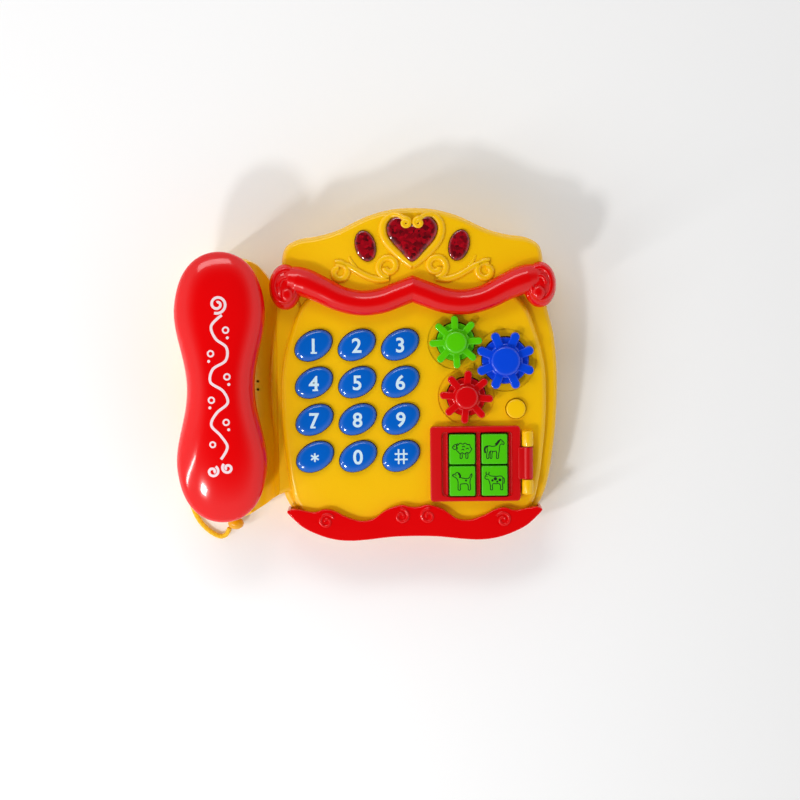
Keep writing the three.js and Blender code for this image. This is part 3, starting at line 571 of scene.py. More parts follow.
shellSet = {
    "body": [
        (0, -95.2), (14, -95.8), (30, -97.8), (39.7, -98.4), (57, -95), (70, -88.5), (77, -81),
        (82, -68.8), (85.7, -47.9), (88.1, -23.8), (88.4, 3.6), (86.4, 24.4), (82.5, 40.5), (79.6, 55),
        (79.9, 71), (77.4, 79), (70, 83.4), (58, 85.4), (46, 88.8), (27, 97.5), (11, 101.5),
    ],
    "face": [
        (0, -91), (40, -93.5), (62, -90), (72.8, -80.1), (77, -65), (79.4, -47.9), (81.4, -23.8), (80.9, 3.6),
        (76, 24.4), (68, 43.8), (58, 52), (30, 56), (0, 57),
    ],
    "handsetAt": (-117, -5),
    # the cradle wing round the handset's middle
    "cradle": [
        (47, -67), (47, 55), (33, 59.5), (27, 67), (21, 73.5), (11, 77.5), (0, 78), (-10, 74.5), (-15.5, 65),
        (-16.5, 45), (-16.5, -5), (-16.5, -55), (-14, -70), (-7, -79), (3, -82.5), (12.5, -82), (20, -77.8),
        (24.6, -75), (31, -70.2), (38, -67.5),
    ],
    "cradleTop": -3.5,
    "valley": {"x": -92.5, "z": 2.5, "radius": 11},
    "crownStart": 52,
    "crownInset": 0.8,
    "cups": [46, -50],
    "cupRadius": 14.5,
    "cupDepth": 3.5,
    "rounds": {"skirt": 3.2, "face": 3.6, "crown": 2.6, "wing": 3.2},
    "wellGap": 0.5,
    "grille": {"corner": (-126, -23.4), "columns": 7, "rows": 7, "pitch": 5.0, "hole": 0.85, "reach": 16.0},
}
bodyLine = smoothOutline(mirrored(shellSet["body"]), 8)
faceLine = smoothOutline(mirrored(shellSet["face"]), 10)
cradleLine = smoothOutline(
    [(shellSet["handsetAt"][0] + x, shellSet["handsetAt"][1] + y) for x, y in shellSet["cradle"]], 6)

heartLine = smoothOutline([
    (0, 69.7), (8, 77.2), (14.2, 85), (15.2, 91.5), (10.6, 96.8), (4.6, 96.2), (0, 92.4),
    (-4.6, 96.2), (-10.6, 96.8), (-15.2, 91.5), (-14.2, 85), (-8, 77.2),
], 8)
lensSet = {"left": (-28.5, 79.5, 105), "right": (28.5, 79.5, 75)}
lensHalf = (9.5, 6.2)

keySet = {
    "columns": (-61, -34.5, -8),
    "rows": (19.1, -3.8, -26.7, -49.6),
    "names": ["1", "2", "3", "4", "5", "6", "7", "8", "9", "function", "0", "hash"],
    "half": (12.2, 8.5),
    "flange": {"out": 1.2, "low": -4.1, "high": -2.7},
    "turn": 30,
    "low": -3.6,
    "rim": 1.5,
    "top": 4.2,
}
keySpots = {name: (keySet["columns"][i % 3], keySet["rows"][i // 3])
            for i, name in enumerate(keySet["names"])}
animalSet = {
    "columns": (29.4, 49.2),
    "rows": (-45.3, -64.9),
    "names": ["sheep", "horse", "dog", "cow"],
    "width": 15.8,
    "depth": 18.4,
    "top": 6.2,
}
animalSpots = {name: (animalSet["columns"][i % 2], animalSet["rows"][i // 2])
               for i, name in enumerate(animalSet["names"])}
buttonSet = {"spot": (62.7, -21.1), "radius": 6.0, "top": 2.8}
gearSet = {
    "green": {"spot": (26, 20.6), "tip": 16.2, "root": 11.6, "hub": 6.8, "recess": 17.2, "tooth": 2.15},
    "blue": {"spot": (56.3, 8.9), "tip": 18.4, "root": 14.2, "hub": 8.9, "recess": 19.4, "tooth": 2.7},
    "red": {"spot": (32.3, -13.2), "tip": 16.4, "root": 11.8, "hub": 7.2, "recess": 17.4, "tooth": 2.3},
}
gearHeights = {"floor": -0.6, "groove": -1.9, "bottom": 1.0, "disc": 3.2, "spokes": 5.6, "hub": 9.0}
hingeSet = {"x": 69.6, "z": 4.0, "radius": 3.3, "pin": 1.1, "front": -73.6, "back": -34.4,
            "tabFront": -63.9, "tabBack": -44.4}


def columnLine(x, grow):
    w, d = animalSet["width"] / 2 + grow, animalSet["depth"] / 2 + grow
    return boxLine(x - w, x + w, animalSet["rows"][1] - d, animalSet["rows"][0] + d, 1.0)


# The outer skin of the top shell, or its plain inner side when inset by the wall.
def shellSkin(inset):
    low = deck["seam"] - (1 if inset else 0)
    rounds = {name: 0 if inset else size for name, size in shellSet["rounds"].items()}
    skirt = plate(offsetLine(bodyLine, -inset), low, deck["shoulder"] - inset, rounds["skirt"])
    face = plate(offsetLine(faceLine, -inset), low, -inset, rounds["face"], 7)
    crown = plate(offsetLine(bodyLine, -shellSet["crownInset"] - inset), low, -inset, rounds["crown"])
    bmesh.ops.bisect_plane(crown, geom=list(crown.verts) + list(crown.edges) + list(crown.faces),
                           plane_co=(0, shellSet["crownStart"] + inset, 0), plane_no=(0, -1, 0),
                           clear_outer=True)
    bmesh.ops.edgeloop_fill(crown, edges=[e for e in crown.edges if e.is_boundary])
    bmesh.ops.recalc_face_normals(crown, faces=crown.faces)
    wing = plate(offsetLine(cradleLine, -inset), low, shellSet["cradleTop"] - inset, rounds["wing"])
    valley = shellSet["valley"]
    groove = barAlong(valley["radius"] + inset, valley["x"], valley["z"], -110, 100, 56)
    wing = carve(wing, [("-", groove)])
    return carve(skirt, [("+", face), ("+", crown), ("+", wing)])


def cupRods(grow, low):
    x, y = shellSet["handsetAt"]
    radius = shellSet["cupRadius"] + grow
    return [turned([(0, low), (radius - 2, low), (radius - 0.6, low + 0.5), (radius, low + 2), (radius, 5),
                    (0, 5)],
                   x, y + dy, 56) for dy in shellSet["cups"]]


def makeTopShell():
    outside = shellSkin(0)
    cupFloor = shellSet["cradleTop"] - shellSet["cupDepth"]
    inside = carve(shellSkin(deck["wall"]), [("-", joined(cupRods(deck["wall"], cupFloor - deck["wall"])))])
    r = hingeSet["radius"] + 0.2
    spans = ((hingeSet["front"], hingeSet["tabFront"] - 0.3), (hingeSet["tabBack"] + 0.3, hingeSet["back"]))
    knuckles = []
    for front, back in spans:
        foot = plate(boxLine(hingeSet["x"] - r, hingeSet["x"] + r, front, back, 0.6), -1, hingeSet["z"])
        barrel = turned([(0, front), (r - 1.2, front), (r - 0.4, front + 0.35), (r, front + 1.2),
                         (r, back - 1.2),
                         (r - 0.4, back - 0.35), (r - 1.2, back), (0, back)], 0, 0, 48)
        bmesh.ops.rotate(barrel, verts=barrel.verts, matrix=Matrix.Rotation(-math.pi / 2, 3, "X"))
        bmesh.ops.translate(barrel, verts=barrel.verts, vec=(hingeSet["x"], 0, hingeSet["z"]))
        knuckles.append(carve(foot, [("+", barrel)]))
    g = shellSet["wellGap"]
    wells = [plate(ovalLine(*spot, keySet["half"][0] + g, keySet["half"][1] + g, keySet["turn"]), -12, 8)
             for spot in keySpots.values()]
    wells += [plate(columnLine(x, g), -12, 8) for x in animalSet["columns"]]
    wells += [upright(buttonSet["radius"] + g, -12, 8, *buttonSet["spot"])]
    wells += [plate(offsetLine(heartLine, 0.3), -12, 8)]
    wells += [plate(ovalLine(x, y, lensHalf[0] + 0.3, lensHalf[1] + 0.3, turn), -12, 8)
              for x, y, turn in lensSet.values()]
    wells += cupRods(0, cupFloor)
    cuts = [("+", joined(knuckles)), ("-", inside), ("-", joined(wells))]
    for gear in gearSet.values():
        cuts.append(("-", upright(gear["recess"], gearHeights["floor"], 6, *gear["spot"], 72)))
    grooves = [upright(gear["root"] + 0.5, gearHeights["groove"], 6, *gear["spot"], 64)
               for gear in gearSet.values()]
    cuts.append(("-", joined(grooves)))
    x, y = shellSet["handsetAt"]
    grille = shellSet["grille"]
    holes = [upright(2.5, -12, 0, *gear["spot"], 24) for gear in gearSet.values()]
    holes.append(upright(3.8, -20, 5, x, y + shellSet["cups"][0], 32))
    for column in range(grille["columns"]):
        for row in range(grille["rows"]):
            hx, hy = grille["corner"][0] + column * grille["pitch"], grille["corner"][1] + row * grille["pitch"]
            if math.hypot(hx - x - 6, hy - y + 1.2) < grille["reach"]:
                holes.append(upright(grille["hole"], -12, 5, hx, hy, 12))
    cuts.append(("-", joined(holes)))
    pinHole = barAlong(hingeSet["pin"] + 0.3, hingeSet["x"], hingeSet["z"], hingeSet["front"] + 1,
                       hingeSet["back"] + 2, 20)
    cuts.append(("-", pinHole))
    shell = carve(outside, cuts)
    for face in shell.faces:  # the grooves round the gears get a near-black material: painted shade
        centre = face.calc_center_median()
        if centre.z < gearHeights["floor"] - 0.05 and any(
                math.hypot(centre.x - gear["spot"][0], centre.y - gear["spot"][1]) < gear["root"] + 0.7
                for gear in gearSet.values()) and centre.z > gearHeights["groove"] - 0.05:
            face.material_index = 1
    piece = addPiece("topShell", shell, finish["yellow_shell"], "housing", ["top_shell"], 34)
    piece.data.materials.append(inkAndShade["shadow"])
    print("top shell")


makeTopShell()


# Level walls that meet the sloping seam of the top shell.
def baseSkin(inset, lowRound):
    level = []
    for line in (bodyLine, cradleLine):
        wall = offsetLine(line, -inset)
        flat = [Vector((p.x, p.y * math.cos(slope) - deck["seam"] * math.sin(slope))) for p in wall]
        block = plate(flat, deck["footHeight"] + inset, 70, 0, 4, lowRound)
        bmesh.ops.transform(block, matrix=levelToDeck, verts=block.verts)
        level.append(block)
    skin = carve(level[0], [("+", level[1])])
    top = deck["seam"] - deck["gap"] + inset
    bmesh.ops.bisect_plane(skin, geom=list(skin.verts) + list(skin.edges) + list(skin.faces),
                           plane_co=(0, 0, top), plane_no=(0, 0, 1), clear_outer=True)
    bmesh.ops.edgeloop_fill(skin, edges=[e for e in skin.edges if e.is_boundary])
    bmesh.ops.recalc_face_normals(skin, faces=skin.faces)
    return skin


baseSet = {
    "door": {"width": 62, "depth": 40, "thickness": 2.2, "y": 42},
    "screws": [(-60, 62), (60, 62), (-66, -72), (66, -84)],
    "screwHead": 2.9,
    "screwShank": 1.4,
    "post": 4.4,
    "postDepth": 14,
    "feet": [(-112, 58), (56, 76), (-116, -66), (44, -84)],
    "footRadius": 5.5,
    "anchor": (-111.5, -88.6, 7.2),
    "anchorStem": 2.6,
}


def deckPoint(x, y, z):
    return levelToDeck @ Vector((x, y, z))


def makeBaseShell():
    door = baseSet["door"]
    w, d = door["width"] / 2 + deck["gap"], door["depth"] / 2 + deck["gap"]
    doorHole = plate(boxLine(-w, w, door["y"] - d, door["y"] + d, 0.5), -5, 12)
    bmesh.ops.transform(doorHole, matrix=levelToDeck, verts=doorHole.verts)
    holes = []
    for x, y in baseSet["screws"]:
        head = baseSet["screwHead"] + deck["gap"]
        holes.append(turned([(0, -80), (head, -80), (head, deck["seam"] - 3), (1.7, deck["seam"] - 3),
                             (1.7, deck["seam"] + 2), (0, deck["seam"] + 2)], x, y, 28))
    x, y, z = deckPoint(*baseSet["anchor"])
    holes.append(barAlong(baseSet["anchorStem"] + deck["gap"], x, z, y - 3, y + 13, 24))
    posts = [upright(baseSet["post"], deck["seam"] - baseSet["postDepth"], deck["seam"] - deck["gap"],
                     *spot, 28) for spot in baseSet["screws"]]
    posts = carve(joined(posts), [("&", baseSkin(0, 1.8))])
    cuts = [("-", baseSkin(deck["wall"], 0)), ("+", posts), ("-", doorHole), ("-", joined(holes))]
    shell = carve(baseSkin(0, 1.8), cuts)
    addPiece("baseShell", shell, finish["yellow_shell"], "housing", ["base_shell"], 34)

    panel = plate(boxLine(-door["width"] / 2, door["width"] / 2, door["y"] - door["depth"] / 2,
                          door["y"] + door["depth"] / 2, 0.5), deck["footHeight"] + 0.2,
                  deck["footHeight"] + door["thickness"])
    ribs = [plate(boxLine(x - 0.8, x + 0.8, door["y"] + 8, door["y"] + 16, 0.7), deck["footHeight"] - 0.2,
                  deck["footHeight"] + 1) for x in range(-12, 13, 4)]
    screwHole = upright(1.7, -1, 8, 0, door["y"] - door["depth"] / 2 + 5, 24)
    panel = carve(panel, [("+", joined(ribs)), ("-", screwHole)])
    addPiece("batteryDoor", panel, finish["yellow_shell"], "housing", ["battery_door"],
             30, levelWorld)
    for i, (x, y) in enumerate(baseSet["feet"]):
        r, high = baseSet["footRadius"], deck["footHeight"] - deck["gap"]
        pad = turned([(0, 0), (r - 0.8, 0), (r - 0.15, 0.35), (r, 1.0), (r, high), (0, high)], x,
                     y * math.cos(slope), 40)
        addPiece(f"foot{i + 1}", pad, finish["foot_rubber"], "housing", [f"foot_{i + 1}"], 40,
                 levelWorld)
    print("base shell")


# A screw seen from below: a rounded head with a cross slot, and a threaded shank.
def screw(x, y, headLow, headHigh, shankHigh):
    r, s = baseSet["screwHead"], baseSet["screwShank"]
    profile = [(0, headLow), (r - 0.7, headLow), (r - 0.1, headLow + 0.5), (r, headLow + 0.9), (r, headHigh),
               (s, headHigh)]
    z = headHigh
    while z + 1.0 < shankHigh - 1:
        profile += [(s - 0.25, z + 0.35), (s, z + 0.7)]
        z += 0.7
    profile += [(s * 0.7, shankHigh - 0.6), (0, shankHigh)]
    body = turned(profile, x, y, 28)
    slots = [plate(boxLine(x - a, x + a, y - b, y + b, 0.1, 2), headLow - 1, headLow + 0.6)
             for a, b in ((1.9, 0.35), (0.35, 1.9))]
    return carve(body, [("-", slots[0]), ("-", slots[1])])


def makeScrews():
    for i, (x, y) in enumerate(baseSet["screws"]):
        seam = deck["seam"]
        piece = screw(x, y, seam - 5.4, seam - 3 - deck["gap"], seam + 9)
        addPiece(f"housingScrew{i + 1}", piece, finish["steel"], "housing",
                 [f"housing_screw_{i + 1}"], 30)
    y = baseSet["door"]["y"] - baseSet["door"]["depth"] / 2 + 5
    top = deck["footHeight"] - deck["gap"]
    addPiece("doorScrew", screw(0, y, top - 1.3, top, 9), finish["steel"], "housing",
             ["door_screw"], 30,
             levelWorld)
    print("screws")


def makeAnchor():
    x, y, z = deckPoint(*baseSet["anchor"])
    knob = ball(x - 0.5, y - 2.6, z, 5, 3.8, 4.2, 40)
    stem = barAlong(baseSet["anchorStem"], x, z, y - 1, y + 12, 28)
    rib = barAlong(3.4, x, z, y + 0.9, y + 2.1, 32)
    piece = carve(knob, [("+", stem), ("+", rib)])
    addPiece("cordAnchor", piece, finish["yellow_anchor"], "housing", ["cord_anchor"], 40)
    print("anchor")


makeBaseShell()
makeScrews()
makeAnchor()


# What the trims rest on: the housing and the cradle wing, grown by the gap.
def trimBed():
    gap = deck["gap"]
    body = plate(offsetLine(bodyLine, gap), -40, gap)
    wing = plate(offsetLine(cradleLine, gap), -40, shellSet["cradleTop"] + gap)
    return [("-", body), ("-", wing)]


curtainSet = {
    "lift": 2.2,
    "path": [(-6, 55.6), (0, 53.2), (9, 49.8), (19, 46.2), (31, 44.9), (44, 47.6), (56, 53.4), (65, 57.4),
             (71, 59.2),
             (76, 60), (79.5, 59.8), (81.5, 59.6)],
    "radii": [7.8, 7.8, 7.8, 7.8, 7.8, 7.8, 8.2, 8.8, 8.6, 7.4, 5, 1.5],
    "scroll": {"x": 77.6, "y": 55, "z": 0.8, "rx": 10, "ry": 14, "rz": 8.4},
    "boss": {"x": 76.4, "y": 50.6, "radius": 4.0},
}


# A draped swag, half of it mirrored, that winds into a scroll at its end.
def makeCurtain():
    path = smoothOutline([(x, y, curtainSet["lift"]) for x, y in curtainSet["path"]], 8, closed=False)
    sizes = curtainSet["radii"]
    radii = [sizes[i // 8] + (sizes[min(i // 8 + 1, len(sizes) - 1)] - sizes[i // 8]) * (i % 8) / 8
             for i in range(len(path))]
    swag = tubeAlong(path, radii, 40)
    s = curtainSet["scroll"]
    scroll = ball(s["x"], s["y"], s["z"], s["rx"], s["ry"], s["rz"], 56)
    ridge = []
    for i in range(61):  # winds clockwise from the top of the scroll
        share = i / 60
        angle = math.radians(118 - 470 * share)
        across = 0.8 - 0.47 * share
        x, y = s["rx"] * across * math.cos(angle), s["ry"] * across * math.sin(angle)
        height = s["rz"] * math.sqrt(max(0.05, 1 - (x / s["rx"]) ** 2 - (y / s["ry"]) ** 2))
        ridge.append(Vector((s["x"] + x, s["y"] + y, s["z"] + height - 0.5)))
    curl = tubeAlong(ridge, [2.3 - 0.9 * i / 60 for i in range(61)], 18)
    b = curtainSet["boss"]
    boss = ball(b["x"], b["y"], s["z"] + s["rz"] - 0.4, b["radius"], b["radius"] * 1.1, 2.2, 32)
    half = carve(swag, [("+", scroll), ("+", curl), ("+", boss), *trimBed()])
    bmesh.ops.bisect_plane(half, geom=list(half.verts) + list(half.edges) + list(half.faces),
                           plane_co=(0, 0, 0), plane_no=(-1, 0, 0), clear_outer=True)
    bmesh.ops.mirror(half, geom=list(half.verts) + list(half.edges) + list(half.faces),
                     matrix=Matrix.Identity(4),
                     merge_dist=1e-3, axis="X")
    bmesh.ops.remove_doubles(half, verts=half.verts, dist=1e-3)
    bmesh.ops.recalc_face_normals(half, faces=half.faces)
    addPiece("curtainTrim", half, finish["red_trim"], "housing", ["curtain_trim"], 42)
    print("curtain")


apronSet = {
    "half": [
        (0, -99.1), (14, -99.5), (30, -101.2), (39.7, -101.7), (49.3, -100.8), (59, -97.9), (68.6, -93.2),
        (75, -87.6), (78.6, -83.2), (75.6, -81.6), (70.2, -82.2), (62, -83.6), (55, -81.9), (49, -83.2),
        (42.9, -86.4), (33.2, -89.4), (26, -88.4), (17.2, -82.5), (7.6, -79.8), (2.5, -81),
    ],
    "low": -14.0,
    "top": 4.2,
    "round": 0.7,
    # embossed curls: centre, radius, turns, start
    "curls": [((54.5, -89.4), 4.8, -1.4, 150), ((8.2, -86.6), 4.8, 1.4, 80)],
}


def makeApron():
    line = smoothOutline(mirrored(apronSet["half"]), 8)
    base = plate(line, apronSet["low"], apronSet["top"], apronSet["round"], 8)
    bar = []
    for (x, y), radius, turns, start in apronSet["curls"]:
        for side in (1, -1):
            points = [Vector((side * px, py, apronSet["top"] - 0.15)) for px, py in
                      spiral(x, y, radius, 0.9, turns, start)]
            bar.append(tubeAlong(points, [1.05 - 0.3 * i / 36 for i in range(37)], 12))
    piece = carve(base, [("+", joined(bar)), *trimBed()])
    addPiece("apronTrim", piece, finish["red_trim"], "housing", ["apron_trim"], 40)
    print("apron")


makeCurtain()
makeApron()


reliefSet = {
    "frame": [(0, 67.4), (9.3, 75), (16.2, 83), (17.9, 88.4), (17.0, 93.8), (12.8, 97.9), (8.4, 98.1),
              (5.6, 96.5)],
    "frameRadii": (2.4, 2.7, 2.7, 2.6, 2.3, 1.8, 1.6, 1.5),
    "heartCurl": ((4.0, 93.3), 2.9, 0.6, 1.3, 76),
    "wave": [(38.3, 67.1), (33.7, 64.3), (27.4, 60.9), (20.6, 59), (14.9, 59.7)],
    "outerCurl": ((44.8, 63.6), 6.2, 2.4, -1.05, 70),
    "innerCurl": ((14.4, 67.0), 7.2, 2.6, -1.2, 270),
    "leaf": [(38.6, 73.2), (37.3, 70.4), (34.4, 66.2)],
    "line": 2.1,
    "squash": 0.7,
}


# Raised scrollwork on the crown, the same on both sides of the heart.
def makeRelief():
    bars = []
    for side in (1, -1):
        frameLine = smoothOutline(reliefSet["frame"], 8, closed=False)
        (cx, cy), radius, inner, turns, start = reliefSet["heartCurl"]
        curl = spiral(cx, cy, radius, inner, turns, start)
        total = [Vector(p) for p in frameLine] + [Vector(p) for p in curl]
        radii, points = [], []
        for i, p in enumerate(total):
            onFrame = min(i / 8, len(reliefSet["frameRadii"]) - 1.001)
            a, b = int(onFrame), int(onFrame) + 1
            size = reliefSet["frameRadii"]
            radii.append(size[a] + (size[b] - size[a]) * (onFrame - a))
            rise = 2.8 * min(1, max(0, (i - 40) / 18))  # the curls lie over the lens
            points.append(Vector((side * p.x, p.y, rise)))
        bars.append(tubeAlong(points, radii, 18, reliefSet["squash"]))
        (ox, oy), radius, inner, turns, start = reliefSet["outerCurl"]
        outer = [(x, y) for x, y in spiral(ox, oy, radius, inner, -turns, start)]
        (ix, iy), radius, inner, turns, start = reliefSet["innerCurl"]
        innerCurl = spiral(ix, iy, radius, inner, -turns, start)
        wave = smoothOutline([outer[0], *reliefSet["wave"], innerCurl[0]], 8, closed=False)
        full = [Vector(p) for p in reversed(outer[1:])] + wave + [Vector(p) for p in innerCurl[1:]]
        points = [Vector((side * p.x, p.y, 0.1)) for p in full]
        bars.append(tubeAlong(points, [reliefSet["line"]] * len(points), 14, reliefSet["squash"]))
        leaf = [Vector((side * p[0], p[1], 0)) for p in smoothOutline(reliefSet["leaf"], 8, closed=False)]
        bars.append(tubeAlong(leaf, [0.7 + 0.8 * i / len(leaf) for i in range(len(leaf))], 12, 0.7))
    addPiece("crownRelief", joined(bars), finish["yellow_shell"], "housing", (), 60)
    print("relief")


def insideLine(x, y, line):
    odd = False
    for i, a in enumerate(line):
        b = line[i - 1]
        if (a.y > y) != (b.y > y) and x < (b.x - a.x) * (y - a.y) / (b.y - a.y) + a.x:
            odd = not odd
    return odd


# A clear red dome over a bed of small foil pyramids that show as facets.
def makeLens(name, line, centre, top, node):
    low = -3.0
    lens = dome(line, centre, low + 1.6, top * 0.42, top, 9, 2.4)
    addPiece(f"{name}Lens", lens, finish["ruby_lens"], "housing", [node], 50)
    pitch, bed = 1.9, []
    inner = offsetLine(line, -0.5)
    bed.append(plate(inner, low - 1.2, low))
    xs, ys = [p.x for p in line], [p.y for p in line]
    for i in range(int((max(xs) - min(xs)) / pitch) + 1):
        for j in range(int((max(ys) - min(ys)) / pitch) + 1):
            x, y = min(xs) + (i + 0.5 * (j % 2)) * pitch, min(ys) + j * pitch
            if insideLine(x, y, offsetLine(line, -1.4)):
                tip = bmesh.new()
                bmesh.ops.create_cone(tip, segments=6, radius1=pitch * 0.62, radius2=0, depth=1.2,
                                      cap_ends=True)
                bmesh.ops.translate(tip, verts=tip.verts, vec=(x, y, low + 0.55))
                bed.append(tip)
    addPiece(f"{name}Foil", joined(bed), inkAndShade["foil"], "housing", (), 10)


makeRelief()
makeLens("heart", heartLine, (0, 84), 3.6, "heart_lens")
for side, (x, y, turn) in lensSet.items():
    makeLens(side, ovalLine(x, y, *lensHalf, turn, 48), (x, y), 2.6, f"{side}_lens")
print("lenses")

# Generic printed figures from the built-in font, with small serif bars on 1, 4 and 7.
printSet = {
    "size": 12.4,
    "thicken": 0.24,
    "serif": 0.55,
    "raise": 0.09,
    # key: text, bars as (x, y, half length)
    "signs": {
        "1": ("1", [(0.3, -4.3, 1.9)]), "2": ("2", []), "3": ("3", []), "4": ("4", [(0.9, -4.3, 1.7)]),
        "5": ("5", []), "6": ("6", []), "7": ("7", [(-0.9, -4.3, 1.6)]), "8": ("8", []), "9": ("9", []),
        "0": ("0", []),
    },
}


def figure(text, x, y):
    curve = bpy.data.curves.new("figure", "FONT")
    curve.body = text
    curve.size = printSet["size"]
    curve.offset = printSet["thicken"]
    curve.extrude = 3
    curve.resolution_u = 6
    curve.align_x, curve.align_y = "CENTER", "CENTER"
    holder = bpy.data.objects.new("figure", curve)
    bpy.context.scene.collection.objects.link(holder)
    bpy.context.view_layer.update()
    mesh = bpy.data.meshes.new_from_object(holder.evaluated_get(bpy.context.evaluated_depsgraph_get()))
    bm = bmesh.new()
    bm.from_mesh(mesh)
    bpy.data.objects.remove(holder)
    bpy.data.curves.remove(curve)
    bpy.data.meshes.remove(mesh)
    bmesh.ops.remove_doubles(bm, verts=bm.verts, dist=1e-3)
    xs, ys = [v.co.x for v in bm.verts], [v.co.y for v in bm.verts]
    middle = ((min(xs) + max(xs)) / 2, (min(ys) + max(ys)) / 2)
    bmesh.ops.translate(bm, verts=bm.verts, vec=(x - middle[0], y - middle[1], 4))
    bmesh.ops.recalc_face_normals(bm, faces=bm.faces)
    return bm


def keyCap(x, y, grow=0.0):
    line = ovalLine(x, y, keySet["half"][0] + grow, keySet["half"][1] + grow, keySet["turn"])
    return dome(line, (x, y), keySet["low"], keySet["rim"] + grow, keySet["top"] + grow, 10, 2.5)


def makeKeys():
    for name, (x, y) in keySpots.items():
        cap = keyCap(x, y)
        f = keySet["flange"]
        long, short = keySet["half"][0] + f["out"], keySet["half"][1] + f["out"]
        flange = plate(ovalLine(x, y, long, short, keySet["turn"]), f["low"], f["high"])
        cap = carve(cap, [("+", flange)])
        node = f"key_{name}"
        addPiece(f"key{name.title()}", cap, finish["blue_key"], node, [node], 45)
        if name == "function":  # a plain star of three bars
            bars = []
            for turn in (30, 90, 150):
                c, s = math.cos(math.radians(turn)), math.sin(math.radians(turn))
                ends = [(-2.7, -0.5), (2.7, -0.5), (2.7, 0.5), (-2.7, 0.5)]
                bars.append(plate([(x + a * c - b * s, y + a * s + b * c) for a, b in ends], 1, 8))
            sign = carve(bars[0], [("+", bar) for bar in bars[1:]])
        elif name == "hash":
            strokes = [plate(boxLine(x + a - w, x + a + w, y + b - h, y + b + h, 0.1, 2), 1, 8)
                       for a, b, w, h in ((-1.6, 0, 0.5, 4.6), (1.6, 0, 0.5, 4.6), (0, 1.7, 4, 0.5),
                                          (0, -1.7, 4, 0.5))]
            sign = carve(strokes[0], [("+", s) for s in strokes[1:]])
        else:
            text, bars = printSet["signs"][name]
            sign = figure(text, x, y)
            steps = [("+", plate(boxLine(x + bx - half, x + bx + half, y + by - printSet["serif"],
                                         y + by + printSet["serif"], 0.1, 2), 1, 8))
                     for bx, by, half in bars]
            if steps:
                sign = carve(sign, steps)
        mark = carve(sign, [("&", keyCap(x, y, printSet["raise"])), ("-", keyCap(x, y, -0.3))])
        addPiece(f"print{name.title()}", mark, inkAndShade["digits"], node, (), 30)
    print("keys")


